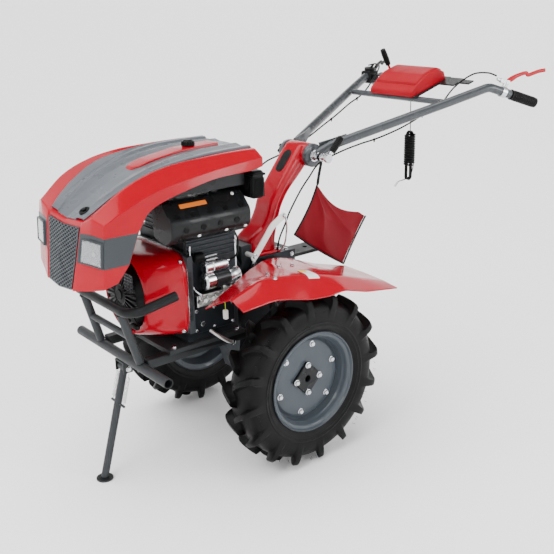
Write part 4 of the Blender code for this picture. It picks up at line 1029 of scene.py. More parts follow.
# ------------------------------------------------------------------ frame
@dataclass
class FrontFrame:
    """Bumper hoop, cross tube, rails and the folding stand."""

    tube: float = 0.015
    cross_y: float = -0.488
    cross_z: float = 0.41
    cross_half: float = 0.277
    cross_radius: float = 0.016
    hoop_y: float = -0.545
    hoop_z: float = 0.61

    def weld(self, origin: Point, axis: Point, radius: float) -> Surface:
        """A weld bead: a ring whose thickness ripples as the torch was moved.

        Args:
            origin: middle of the ring.
            axis: direction of the tube that it runs round.
            radius: radius of that tube.
        Returns:
            The closed ring.
        """
        round_ = turns(48)
        small = turns(8)
        thickness = 0.0026 + 0.0006 * np.sin(round_ * 13)
        reach = radius + thickness[:, None] * np.cos(small)[None]
        grid = np.stack([reach * np.cos(round_)[:, None], reach * np.sin(round_)[:, None],
                         thickness[:, None] * np.sin(small)[None] + 0 * reach], -1)
        return lattice(grid, True, True).moved(origin, axis)

    def bumper(self) -> Surface:
        """Hoop, two leaning posts and the brace between them, with their welds."""
        ends = [(side * 0.208, -0.4, 0.645) for side in (-1, 1)]
        bends = [(side * 0.185, self.hoop_y, self.hoop_z) for side in (-1, 1)]
        parts = [swept(bent([ends[0], bends[0], bends[1], ends[1]], 0.06, 14), self.tube, 24)]
        hoop = np.array((0, self.hoop_y, self.hoop_z))
        low = np.array((0, self.cross_y, self.cross_z))
        rise = unit(hoop - low)
        foot = low + rise * (self.cross_radius + 0.001)
        for side in (-1, 1):
            base, head = foot + (side * 0.124, 0, 0), hoop + (side * 0.115, 0, 0)
            parts.append(straight(base, head, 0.0135))
            parts.append(self.weld(head - rise * 0.014, rise, 0.0135))
        middle = (foot + hoop) / 2
        parts.append(straight(middle + (-0.118, 0, 0), middle + (0.118, 0, 0), 0.011))
        return joined(*parts)

    def cross(self) -> Surface:
        """Open tube: outer and inner walls joined at both ends."""
        r, half = self.cross_radius, self.cross_half
        shape = [(r - 0.003, half - 0.0005), (r - 0.0025, half), (r - 0.0005, half),
                 (r, half - 0.0005), (r, -half + 0.0005), (r - 0.0005, -half), (r - 0.0025, -half),
                 (r - 0.003, -half + 0.0005)]
        return revolved(shape, (0, self.cross_y, self.cross_z), X, 40, loop=True)

    def build(self) -> None:
        """Make and dress the frame."""
        put("bumper_tubes", self.bumper(), POWDER, CHASSIS, ["bumper_frame"])
        put("cross_tube", self.cross(), POWDER, CHASSIS, ["front_cross_tube"])
        soft_copy("engine_rails", "engine_rail_frame", POWDER, CHASSIS, 0.0025)
        soft_copy("stand_bracket", "stand_ears", POWDER, CHASSIS, 0.0012)
        mounts = [(side * 0.136, y, 0.445) for side in (-1, 1) for y in (-0.375, -0.135)]
        put("engine_mount_bolts", bolts(mounts, Z, 0.014), ZINC, CHASSIS)
        self.stand()

    def stand(self) -> None:
        """Leg with its foot, the pivot bolt and the two coil springs beside it."""
        top = np.array((0, -0.482, 0.368))
        foot = np.array((0, -0.584, 0.0))
        way = foot - top
        down = unit(way)
        tab = top + way * 0.32
        leg = joined(straight(top, foot + (0, 0, 0.006), 0.0125),
                     revolved([(0, 0), (0.0265, 0), (0.0275, 0.001), (0.0275, 0.005),
                               (0.0262, 0.006), (0.014, 0.0062), (0.013, 0.01), (0, 0.01)], foot, Z,
                              40),
                     straight(top + (-0.021, 0, 0), top + (0.021, 0, 0), 0.014),
                     straight(tab + (-0.04, 0, 0), tab + (0.04, 0, 0), 0.004, 16))
        put("stand_leg_tube", leg, POWDER, STAND, ["stand_leg"])
        start, stop = 0.035, 0.32
        for side, label in SIDES:
            t = np.linspace(0, 1, 420)[:, None]
            core = top + way * (start + 0.03 + (stop - start - 0.06) * t) + (side * 0.034, 0, 0)
            square = np.cross(down, X)
            angle = t * TAU * 21
            coil = core + 0.0048 * (np.cos(angle) * np.array(X) + np.sin(angle) * square)
            beside = top + (side * 0.034, 0, 0)
            hooks = [straight(beside + way * a, beside + way * b, 0.0012, 8)
                     for a, b in ((start, start + 0.032), (stop - 0.032, stop - 0.012))]
            put(f"return_spring_{label}", joined(swept(coil, 0.0009, 6, guide=down), *hooks), ZINC,
                STAND, [f"stand_spring_{label}"])
        put("stand_pivot_bolt", both(bolt((0.027, -0.482, 0.368), X, 0.013)), ZINC, CHASSIS)


# ------------------------------------------------------------------ engine
def oval_ring(y: float, wide: float, high: float, power: float, centre_z: float) -> Array:
    """One ring in a plane across Y, shaped as a superellipse.

    Args:
        y: where the plane lies.
        wide: half width.
        high: half height.
        power: 2 for a circle and more for a rounded square.
        centre_z: height of its middle.
    Returns:
        96 x 3 array.
    """
    steps = 96
    c, s = superellipse(turns(steps), power)
    return np.stack([wide * c, np.full(steps, y), centre_z + high * s], -1)


@dataclass
class Engine:
    """Block, fan shroud, starters, pump, silencer shield, air cleaner and tank."""

    axis_z: float = 0.612
    starter_x: float = 0.1583
    cover_columns: int = 144
    shroud: tuple = ((-0.418, 0.116, 0.116, 2.0), (-0.452, 0.119, 0.119, 2.0),
                     (-0.459, 0.1215, 0.1215, 2.0), (-0.461, 0.126, 0.1255, 2.0),
                     (-0.459, 0.131, 0.13, 2.1), (-0.45, 0.138, 0.1325, 2.3),
                     (-0.428, 0.15, 0.1325, 2.9), (-0.4, 0.162, 0.1325, 3.8),
                     (-0.372, 0.1655, 0.1325, 4.6), (-0.35, 0.166, 0.1325, 5.0),
                     (-0.3465, 0.1665, 0.133, 5.0), (-0.345, 0.169, 0.1355, 5.0),
                     (-0.3365, 0.169, 0.1355, 5.0), (-0.3362, 0.15, 0.118, 5.0))

    def build(self) -> None:
        """Make and dress the engine from front to back."""
        self.fan_side()
        self.block()
        self.electrics()
        self.silencer()
        self.top()

    def fan_side(self) -> None:
        """Shroud, its backing plate and the recoil starter's louvred cover."""
        rings = np.stack([oval_ring(y, w, h, p, self.axis_z) for y, w, h, p in self.shroud])
        put("fan_shroud_pressing",
            lattice(np.concatenate([rings, rings[-1:] * (0.9, 1, 1)]), True, True), RED_ENAMEL,
            CHASSIS, ["fan_shroud"], sharp=40)
        spots = [(s * 0.15, -0.3455, self.axis_z + k * 0.112) for s in (-1, 1) for k in (-1, 1)]
        spots += [(0.118, -0.441, self.axis_z + 0.072), (0.095, -0.447, self.axis_z - 0.095),
                  (-0.118, -0.441, self.axis_z + 0.072)]
        put("shroud_bolts", bolts(spots, (0, -1, 0), 0.01), ZINC, CHASSIS)
        plate = ((-0.334, 0.1, 0.08), (-0.334, 0.171, 0.137), (-0.333, 0.1735, 0.1395),
                 (-0.3225, 0.1735, 0.1395), (-0.3215, 0.171, 0.137), (-0.3215, 0.1, 0.08))
        seam = ((-0.336, 0.15, 0.118), (-0.336, 0.1712, 0.1372), (-0.3342, 0.1712, 0.1372),
                (-0.3342, 0.15, 0.118))
        for name, shape, finish in (("flywheel_plate", plate, STOVE_BLACK),
                                    ("shroud_seam", seam, ZINC)):
            rings = np.stack([oval_ring(y, w, h, 5.5, self.axis_z + 0.002) for y, w, h in shape])
            put(name, lattice(rings, True, True), finish, CHASSIS)
        radius = np.array([0, 0.016, 0.018, 0.03, 0.034, 0.038, 0.06, 0.088, 0.092, 0.098, 0.106,
                           0.114, 0.1165, 0.1165, 0.02])
        height = np.array([-0.482, -0.482, -0.478, -0.476, -0.478, -0.478, -0.477, -0.474, -0.472,
                           -0.466, -0.452, -0.438, -0.43, -0.418, -0.418])
        angle = turns(self.cover_columns)
        slot = (np.arange(self.cover_columns) % 6 < 3)[None, :] * (
            (radius > 0.036) & (radius < 0.09))[:, None]
        depth = height[:, None] + 0.006 * slot
        grid = np.stack([radius[:, None] * np.cos(angle), depth,
                         self.axis_z + radius[:, None] * np.sin(angle)], -1)
        put("recoil_cover", lattice(grid, False, True), BLACK_NYLON, CHASSIS, ["recoil_starter"],
            sharp=30)
        bars = []
        for k in range(6):
            x, z = 0.04 + 0.009 * k, 0.642 + 0.01 * k
            bars.append(straight((x, -0.4795, 0.64), (x, -0.4775, 0.694), 0.0011, 8))
            bars.append(straight((0.038, -0.479, z), (0.088, -0.478, z), 0.0011, 8))
        put("intake_screen", joined(*bars), HANDLE_COAT, CHASSIS)
        rope = curve([(0.06, -0.47, 0.56), (0.09, -0.478, 0.548), (0.104, -0.474, 0.545)], 14)
        put("pull_handle",
            joined(swept(rope, 0.0022, 8),
                   rounded_box((0.078, -0.494, 0.528), (0.118, -0.478, 0.543), 0.006)), BLACK_NYLON,
            CHASSIS)

    def block(self) -> None:
        """Crankcase with its covers, cylinder fins, drain and sump."""
        soft_copy("engine_block", "crankcase_casting", CAST_IRON, CHASSIS, 0.004)
        fins = []
        for k in range(9):
            z = 0.708 + 0.0145 * k
            fins.append(rounded_box((-0.136, -0.312, z), (0.136, -0.128, z + 0.0042), 0.0018, 2))
        put("cylinder_fins", joined(*fins), CAST_IRON, CHASSIS)
        ring = round_outline([(-0.3, 0.47), (-0.14, 0.47), (-0.14, 0.556), (-0.3, 0.556)], 0.02)
        cover = slab(ring, 0.01, (0.133, 0, 0), Y, Z, 0.0015)
        side = [(0.138, y, z) for y in (-0.29, -0.22, -0.15) for z in (0.48, 0.546)]
        put("side_cover", both(cover), CAST_IRON, CHASSIS)
        put("side_cover_bolts", both(bolts(side, X, 0.009)), ZINC, CHASSIS)
        drain = curve([(0.134, -0.238, 0.468), (0.15, -0.225, 0.455), (0.166, -0.195, 0.43),
                       (0.17, -0.178, 0.422)], 20)
        put("oil_drain_pipe", swept(drain, 0.0062, 14), DIE_CAST, CHASSIS)
        put("oil_drain_plugs", joined(bolt((0.171, -0.176, 0.421), (0.2, 1, -0.25), 0.013),
                                      bolt((0.136, -0.268, 0.5), X, 0.016)), ZINC, CHASSIS)
        sump = revolved([(0, 0.398), (0.07, 0.398), (0.084, 0.404), (0.088, 0.414), (0.088, 0.428),
                         (0, 0.428)],
                        (0.0, -0.235, 0.0), Z, 48)
        put("sump_pan", sump, STOVE_BLACK, CHASSIS)
        seam = revolved(sleeve(0.084, 0.0905, 0.4165, 0.419), (0.0, -0.235, 0.0), Z, 48, loop=True)
        put("sump_seam", seam, ZINC, CHASSIS)

    def electrics(self) -> None:
        """Starter with its solenoid, the injection pump, pipes and small fittings."""
        x = self.starter_x
        motor = joined(revolved([(0, 0), (0.022, 0), (0.025, 0.003), (0.0275, 0.006),
                                 (0.0275, 0.034), (0.024, 0.037), (0, 0.037)],
                                (x, -0.272, 0.645), Y, 40),
                       revolved([(0, 0.092), (0.0265, 0.092), (0.028, 0.095), (0.028, 0.126),
                                 (0.025, 0.131), (0.012, 0.132), (0, 0.132)],
                                (x, -0.272, 0.645), Y, 40))
        solenoid = joined(revolved([(0, 0), (0.016, 0), (0.0195, 0.003), (0.0195, 0.022),
                                    (0.0175, 0.024), (0.0175, 0.028), (0.0195, 0.03),
                                    (0.0195, 0.076), (0.016, 0.079), (0.016, 0.083), (0, 0.083)],
                                   (x, -0.268, 0.69), Y, 36),
                          straight((x + 0.004, -0.186, 0.698), (x + 0.004, -0.172, 0.698), 0.003,
                                   12),
                          straight((x + 0.002, -0.186, 0.682), (x + 0.002, -0.174, 0.682), 0.003,
                                   12),
                          rounded_box((x - 0.01, -0.266, 0.64), (x + 0.01, -0.236, 0.69), 0.003),
                          straight((x + 0.008, -0.262, 0.716), (x + 0.014, -0.226, 0.718), 0.0035,
                                   12),
                          straight((x - 0.006, -0.258, 0.722), (x + 0.002, -0.218, 0.726), 0.0032,
                                   12))
        put("starter_ends", joined(motor, solenoid), ZINC, CHASSIS, ["starter_motor"])
        put("starter_body",
            revolved([(0, 0.037), (0.0268, 0.037), (0.0268, 0.092), (0, 0.092)], (x, -0.272, 0.645),
                     Y, 40), STOVE_BLACK, CHASSIS)
        body = joined(rounded_box((0.1303, -0.3, 0.566), (0.164, -0.18, 0.606), 0.004),
                      *[straight((0.15, y, 0.572), (0.176, y, 0.6), 0.0085, 14)
                        for y in (-0.29, -0.262, -0.232, -0.203)],
                      *[revolved([(0, 0), (0.01, 0), (0.01, 0.006), (0.007, 0.008), (0.007, 0.014),
                                  (0, 0.014)],
                                 (0.162, y, 0.588), (1, 0, 0.1), 18)
                        for y in (-0.276, -0.247, -0.217, -0.19)],
                      rounded_box((0.132, -0.196, 0.6), (0.158, -0.166, 0.626), 0.004),
                      straight((0.158, -0.182, 0.614), (0.178, -0.178, 0.616), 0.005, 14))
        put("injection_pump_casting", body, DIE_CAST, CHASSIS, ["injection_pump"])
        nuts = [bolt((0.171, y, z), X, 0.01)
                for y, z in ((-0.3 + 0.008, 0.6), (-0.246, 0.57), (-0.205, 0.598), (-0.184, 0.574))]
        put("pump_unions", joined(*nuts), ZINC, CHASSIS)
        pipes = [curve([(0.165, -0.276, 0.592), (0.176, -0.292, 0.612), (0.15, -0.306, 0.64),
                        (0.134, -0.3, 0.76)], 40),
                 curve([(0.15, -0.18, 0.618), (0.16, -0.15, 0.64), (0.14, -0.132, 0.7),
                        (0.12, -0.12, 0.8)], 40)]
        put("injector_pipes", joined(*[swept(p, 0.003, 10, guide=(0, 1, 0.2)) for p in pipes]),
            ZINC, CHASSIS)
        loops = [curve([(x + 0.004, -0.172, 0.698), (x + 0.012, -0.15, 0.712),
                        (0.15, -0.128, 0.752), (0.08, -0.1, 0.78)], 40),
                 curve([(0.128, -0.316, 0.7), (0.146, -0.322, 0.728), (0.14, -0.318, 0.77),
                        (0.12, -0.3, 0.8)], 40)]
        put("engine_wires", joined(*[swept(p, 0.003, 10, guide=(0.2, 1, 0)) for p in loops]),
            CABLE_PVC, CHASSIS)
        boot = revolved([(0, 0), (0.014, 0), (0.016, 0.006), (0.015, 0.028), (0.009, 0.034),
                         (0, 0.034)],
                        (0.15, -0.296, 0.726), (0.1, 1, 0), 24)
        put("solenoid_boot", boot, GRIP_RUBBER, CHASSIS)

    def silencer(self) -> None:
        """Pressed shield with a swage line, round holes filled with black discs of painted shade,
        white screws and a blank label.
        """
        ring = [(0.095, 0.8), (0.13, 0.7925), (0.168, 0.786), (0.198, 0.812), (0.2015, 0.836),
                (0.2, 0.862), (0.15, 0.914), (0.095, 0.914)]
        outline = np.array(round_outline(ring, 0.014, 5))
        rows = []
        for y, grow in ((-0.4, 0.8), (-0.4, 0.955), (-0.398, 0.985), (-0.394, 1.0), (-0.27, 1.0),
                        (-0.266, 0.992), (-0.262, 1.0), (-0.116, 1.0), (-0.112, 0.985),
                        (-0.11, 0.955), (-0.11, 0.8)):
            flat = (outline - (0.14, 0.85)) * grow + (0.14, 0.85)
            rows.append(np.stack([flat[:, 0], np.full(len(flat), y), flat[:, 1]], -1))
        ends = [np.zeros_like(rows[0]) + (0.14, y, 0.85) for y in (-0.4, -0.11)]
        rows = [ends[0], *rows, ends[1]]
        put("silencer_guard", lattice(np.stack(rows), False, True), STOVE_BLACK, CHASSIS,
            ["silencer_shield"], sharp=30)
        slope = unit((0.052, 0, 0.05))
        # each hole is a black rubber disc under a small lip: painted shade standing in for the dark
        # inside of the opening
        hole = [(0, -0.002), (0.009, -0.002), (0.0094, 0.0012), (0.0084, 0.0012), (0.0078, 0.0003),
                (0, 0.0003)]
        holes = [revolved(hole, (0.1875, y, 0.8755), slope, 20)
                 for y in np.linspace(-0.372, -0.14, 5)]
        holes += [revolved(hole, (0.2015, y, 0.834), X, 20) for y in np.linspace(-0.35, -0.165, 4)]
        screws = []
        for radius, at, way in (*[(0.0058, (0.1925, y, 0.8075), (0.65, 0, -0.75))
                                  for y in (-0.3, -0.2, -0.128)],
                                (0.0055, (0.158, -0.15, 0.906), slope)):
            head = [(0, -0.001), (radius, -0.001), (radius, 0.001), (0.004, 0.003), (0, 0.0036)]
            screws.append(revolved(head, at, way, 16))
        put("shield_hole_shade_discs", joined(*holes), TYRE_RUBBER, CHASSIS)
        put("shield_screws", joined(*screws), WHITE_ENAMEL, CHASSIS)
        blank = round_outline([(-0.048, -0.0075), (0.048, -0.0075), (0.048, 0.0075),
                               (-0.048, 0.0075)], 0.002)
        label = slab(blank, 0.0008, (0.166, -0.3, 0.8985), Y, (-slope[2], 0, slope[0]), 0.0002)
        put("heat_label_blank", label, FILM_ORANGE, CHASSIS)

    def top(self) -> None:
        """Ribbed air cleaner and fuel tank."""
        box = [rounded_box((-0.02, -0.088, 0.88), (0.185, -0.042, 0.968), 0.01, 4),
               rounded_box((-0.016, -0.152, 0.8403), (0.06, -0.08, 0.905), 0.006),
               rounded_box((-0.026, -0.091, 0.952), (0.188, -0.039, 0.96), 0.003)]
        for k in range(9):
            y = -0.083 + 0.0045 * k
            box.append(rounded_box((0.184, y, 0.886), (0.1875, y + 0.0022, 0.946), 0.001, 2))
        for k in range(24):
            u = -0.012 + 0.008 * k
            box += [rounded_box((u, y, 0.886), (u + 0.003, y + 0.0035, 0.946), 0.001, 2)
                    for y in (-0.0905, -0.043)]
        put("air_cleaner_case", joined(*box), BLACK_NYLON, CHASSIS, ["air_cleaner"])
        soft_copy("fuel_tank", "fuel_tank_shell", STOVE_BLACK, CHASSIS, 0.005)


# ------------------------------------------------------------------ hood
@dataclass
class Hood:
    """Red shell, grey panel and side bands, grille, lamps, centre strip and cap.

    Five rails run from the rear edge over the roof (seven rows) and down the mask (three rows).
    """

    wall: float = 0.004
    roof_end: int = 6
    mask_end: int = 9
    rails: dict[str, tuple] = field(default_factory=lambda: {
                                        "middle": ((0, -0.055, 1.03), (0, -0.12, 1.03),
                                                   (0, -0.24, 1.025), (0, -0.36, 1.006),
                                                   (0, -0.46, 0.975), (0, -0.55, 0.93),
                                                   (0, -0.634, 0.878), (0, -0.64, 0.862),
                                                   (0, -0.654, 0.773), (0, -0.668, 0.684)),
                                        "edge": ((0.125, -0.055, 1.028), (0.135, -0.12, 1.029),
                                                 (0.135, -0.24, 1.025), (0.13, -0.36, 1.008),
                                                 (0.12, -0.46, 0.978), (0.108, -0.55, 0.935),
                                                 (0.1, -0.632, 0.888), (0.097, -0.636, 0.866),
                                                 (0.085, -0.65, 0.775), (0.073, -0.664, 0.69)),
                                        "ridge": ((0.16, -0.058, 1.034), (0.165, -0.12, 1.036),
                                                  (0.168, -0.24, 1.035), (0.17, -0.36, 1.03),
                                                  (0.172, -0.46, 1.012), (0.172, -0.55, 0.975),
                                                  (0.16, -0.632, 0.912), (0.155, -0.634, 0.87),
                                                  (0.147, -0.642, 0.775), (0.14, -0.651, 0.7)),
                                        "crease": ((0.2, -0.06, 1.012), (0.203, -0.12, 1.009),
                                                   (0.205, -0.24, 0.998), (0.206, -0.36, 0.981),
                                                   (0.206, -0.46, 0.96), (0.207, -0.55, 0.928),
                                                   (0.207, -0.617, 0.899), (0.209, -0.621, 0.866),
                                                   (0.208, -0.628, 0.773), (0.206, -0.633, 0.716)),
                                        "hem": ((0.203, -0.062, 0.985), (0.206, -0.12, 0.978),
                                                (0.208, -0.24, 0.974), (0.209, -0.36, 0.952),
                                                (0.209, -0.44, 0.93), (0.209, -0.478, 0.91),
                                                (0.209, -0.495, 0.889), (0.209, -0.511, 0.864),
                                                (0.209, -0.55, 0.773), (0.207, -0.588, 0.727))})

    def rows(self, at: Array) -> Array:
        """Rail points at broken row numbers: a curve over the roof, straight down the mask.

        Args:
            at: row numbers from 0 to 9.
        Returns:
            rows x 6 x 3: middle, edge, proud, ridge, crease and hem.
        """
        lines = np.array([self.rails[k]
                          for k in ("middle", "edge", "ridge", "crease", "hem")]).transpose(1, 0, 2)
        roof = lines[:self.roof_end + 1]
        ends = np.concatenate([2 * roof[:1] - roof[1:2], roof, 2 * roof[-1:] - roof[-2:-1]])
        start = np.clip(at.astype(int), 0, self.roof_end - 1)
        t = (at - start)[:, None, None]
        swung = spline([ends[start + k] for k in range(4)], t)
        step = np.clip(at.astype(int), self.roof_end, self.mask_end - 1)
        share = (at - step)[:, None, None]
        down = lines[step] * (1 - share) + lines[step + 1] * share
        whole = np.where(at[:, None, None] <= self.roof_end, swung, down)
        tilt = np.clip((at - 5.6) / 1.4, 0, 1)[:, None]
        lift = np.concatenate([np.full((len(at), 1), 0.008), -0.006 * tilt, 0.006 * (1 - tilt)], 1)
        proud = whole[:, 1] + lift
        return np.stack([whole[:, 0], whole[:, 1], proud, whole[:, 2], whole[:, 3], whole[:, 4]], 1)

    def shell(self) -> Surface:
        """The whole left half as one folded sheet, each fold eased, with its wall."""
        at = np.concatenate([np.linspace(0, 5.9, 72), np.linspace(6, 7, 5),
                             np.linspace(7.1, 9, 24)])
        # each easing adds columns, so the ridge and the crease move to 9 and 16
        grid = eased(self.rows(at), (1, 2), 0.0016, 3)
        grid = eased(grid, (9,), 0.007, 6)
        grid = eased(grid, (16,), 0.004, 5)
        # rows 72 and 76 are the roof's front edge and the mask's top edge
        grid = eased(grid.transpose(1, 0, 2), (72, 76), 0.006, 4).transpose(1, 0, 2)
        return thick(grid, self.wall)

    def sheet(self, at: Array, columns: Array, lift: float, wall: float) -> Surface:
        """A closed sheet laid on part of the shell.

        Args:
            at: row numbers.
            columns: broken rail numbers from 0 (middle) to 5 (hem).
            lift: how far its outer face stands off the shell.
            wall: thickness.
        Returns:
            The closed sheet.
        """
        base = self.rows(at)
        grid = between(base, np.arange(len(at), dtype=float), columns)
        return thick(grid + outward(grid) * lift, wall)

    def panel(self) -> Surface:
        """Grey roof panel: wide behind, narrow in front, with pressed creases.

        A point's height is read off the shell at its own distance from the middle, then raised by
        the panel's wall; the rise falls away at the rim, so the edge lies close to the shell.

        Returns:
            The closed left half.
        """
        at = np.linspace(0.0, 5.93, 110)
        base = self.rows(at)
        y = base[:, 0, 1]
        rim = np.interp(-y, (0.055, 0.12, 0.24, 0.35, 0.44, 0.475, 0.55, 0.6, 0.634),
                        (0.138, 0.142, 0.147, 0.15, 0.149, 0.145, 0.131, 0.117, 0.099))
        share = np.concatenate([np.linspace(0, 0.9, 46), np.linspace(0.915, 1, 8)])
        x = rim[:, None] * share
        line = base[:, [0, 1, 3, 4]]
        step = np.clip(np.stack([(x - line[:, k, None, 0]) / (
                                     line[:, k + 1, None, 0] - line[:, k, None, 0])
                                 for k in range(3)], -1), 0, 1)
        grid = line[:, None, 0] + (step[..., None] * np.diff(line, axis=1)[:, None]).sum(2)
        first = 0.42 + 0.22 * np.clip(at / 6, 0, 1)
        second = 0.78 - 0.26 * np.clip((at - 2.2) / 3.6, 0, 1)
        fade = np.clip((5.6 - at) / 1.0, 0, 1)[:, None]
        rise = 0.005 * np.clip(1 - np.abs(share[None] - first[:, None]) / 0.2, 0, 1) * fade
        rise += 0.006 * np.clip((share[None] - second[:, None]) / 0.05, 0, 1)
        rise *= np.clip((1 - share[None]) / 0.05, 0, 1)
        grid[..., 2] += 0.0048 + rise
        return thick(grid, 0.004)

    def strip(self) -> Surface:
        """Raised red centre strip with a clipped front end."""
        y = np.concatenate([np.linspace(-0.106, -0.385, 40), np.linspace(-0.388, -0.418, 8)])
        half = np.where(y > -0.388, 0.032, 0.032 - (-0.388 - y) * 0.52)
        middle = np.array(self.rails["middle"])
        z = np.interp(-y, -middle[:, 1], middle[:, 2]) + 0.0128
        across = np.array([-1, -0.97, -0.9, -0.6, -0.2, 0.2, 0.6, 0.9, 0.97, 1])
        drop = np.array([0.0085, 0.0022, 0.0006, 0.0002, 0, 0, 0.0002, 0.0006, 0.0022, 0.0085])
        fall = np.zeros(len(y))
        fall[-2:] = (0.0015, 0.0085)
        grid = np.stack([half[:, None] * across, y[:, None] + 0 * across,
                         z[:, None] - drop - fall[:, None]], -1)
        return thick(grid, 0.002)

    def grille(self) -> tuple[Surface, Array]:
        """Left and right halves of the grille: a lattice of long scales standing over hollows.

        The height is the distance to the nearest of two families of slanted lines, in scale widths.

        Returns:
            The surface and how deep each of its points lies, from 0 to 1, which the material paints
            as shade in the hollows.
        """
        rows, columns = 230, 190
        at = 6.55 + np.linspace(0, 1, rows) * 2.45
        base = self.rows(at)
        whole = np.concatenate([base[:, 1:2] * (-1, 1, 1), base[:, :2]], 1)
        grid = between(whole, np.arange(rows, dtype=float),
                       0.015 + np.linspace(0, 1, columns) * 1.97)
        wide, tall = 0.02, 0.0118
        u, v = grid[..., 0] / wide, grid[..., 2] / tall
        first, second = np.abs((u + v) % 1 - 0.5), np.abs((u - v) % 1 - 0.5)
        ridge = np.clip((np.maximum(first, second) - 0.29) / 0.07, 0, 1)
        rim = np.minimum(np.linspace(0, 1, columns), np.linspace(1, 0, columns))[None] < 0.02
        ridge = np.maximum(ridge, rim)
        ridge[:5] = ridge[-4:] = 1
        grid = grid + outward(grid) * (0.0008 + 0.0042 * ridge[..., None])
        # depth of each point on the outer face, for the painted shade in the hollows; the back face
        # gets none
        relief = np.concatenate([(1 - ridge).ravel(), np.zeros(ridge.size)])
        return thick(grid, 0.0015), relief

    def lamp(self, side: int) -> None:
        """Bezel, faceted reflector, bulb and clear lens of one headlight.

        Args:
            side: 1 for left and -1 for right.
        """
        at = np.linspace(7.22, 7.92, 34)
        columns = np.linspace(2.42, 3.88, 40)
        base = between(self.rows(at), np.arange(len(at), dtype=float), columns)
        normal = outward(base)
        r, c = np.meshgrid(np.linspace(-1, 1, 34), np.linspace(-1, 1, 40), indexing="ij")
        rim = np.maximum(np.abs(r), np.abs(c))
        facet = 2.0 + 2.0 * np.cos(c * 9) * np.cos(r * 6)
        bowl = 0.0012 + 0.003 * np.clip((rim - 0.15), 0, 1) + 0.0006 * facet
        mirror = thick(base + normal * bowl[..., None], 0.001)
        dome = 0.0058 + 0.0016 * (1 - np.clip(rim, 0, 1) ** 3)
        lens = thick(base + normal * dome[..., None], 0.0012)
        label = label_of(side)
        shapes = {"reflector": (mirror, REFLECTOR), "lens": (lens, LENS)}
        outline, lift = border(base), border(normal)
        inner = np.cross(lift, tangents(outline))
        rings = [outline + lift * h + inner * s
                 for s, h in ((0.0, 0.0002), (-0.0008, 0.006), (0.0004, 0.0078), (0.0028, 0.0078),
                              (0.0036, 0.0068), (0.004, 0.001))]
        shapes["bezel"] = (lattice(np.stack(rings), True, True), BAND_ABS)
        spot = base[17, 24] + normal[17, 24] * 0.0026
        shapes["bulb"] = (revolved([(0, 0), (0.0075, 0), (0.008, 0.0008), (0.005, 0.0022),
                                    (0, 0.0028)], spot, normal[17, 24], 24), DIE_CAST)
        for part, (surface, finish) in shapes.items():
            put(f"headlight_{part}_{label}", surface.on(side), finish, CHASSIS,
                [f"headlight_{label}"] if part == "bezel" else [])

    def build(self) -> None:
        """Make and dress the hood."""
        put("hood_shell_moulding", both(self.shell()), RED_ABS, CHASSIS, ["hood_shell"], sharp=28)
        put("hood_top_panel", both(self.panel()), GREY_ABS, CHASSIS, ["hood_panel"], sharp=12)
        put("hood_centre_strip", self.strip(), RED_ABS, CHASSIS, ["hood_strip"], sharp=30)
        band = self.sheet(np.linspace(7.04, 7.98, 24), np.linspace(2.06, 4.985, 60), 0.0008, 0.0016)
        put("hood_side_bands", both(band), BAND_ABS, CHASSIS, sharp=30)
        surface, relief = self.grille()
        put("grille_lattice", surface, GRILLE_ABS, CHASSIS, ["grille"], sharp=40, relief=relief)
        self.lamp(1)
        self.lamp(-1)
        cap = [(0, 0), (0.0185, 0), (0.02, 0.0015), (0.02, 0.012), (0.0185, 0.015), (0.015, 0.0165),
               (0.013, 0.0195), (0, 0.02)]
        ribs = [revolved([(0, 0), (0.0022, 0), (0.0022, 0.011), (0, 0.012)], at, Z, 8)
                for at in circle((0, -0.199, 1.041), 0.0195, 16, axis=2)]
        put("fuel_cap_ribbed",
            joined(revolved(cap, (0, -0.199, 1.04), Z, 48),
                   rounded_box((-0.0035, -0.222, 1.042), (0.0035, -0.217, 1.056), 0.001), *ribs),
            BLACK_NYLON, CHASSIS, ["fuel_cap"])
        at, way = (0.07, -0.603, 0.9125), (0.1, -0.45, 0.9)
        ring = [(0, -0.004), (0.0165, -0.004), (0.0175, 0.002), (0.015, 0.005), (0.011, 0.0055),
                (0.0095, 0.003), (0, 0.003)]
        button = [(0, 0.002), (0.0065, 0.002), (0.006, 0.009), (0, 0.01)]
        put("hood_latch_button", joined(revolved(ring, at, way, 36), revolved(button, at, way, 20)),
            BLACK_NYLON, CHASSIS)


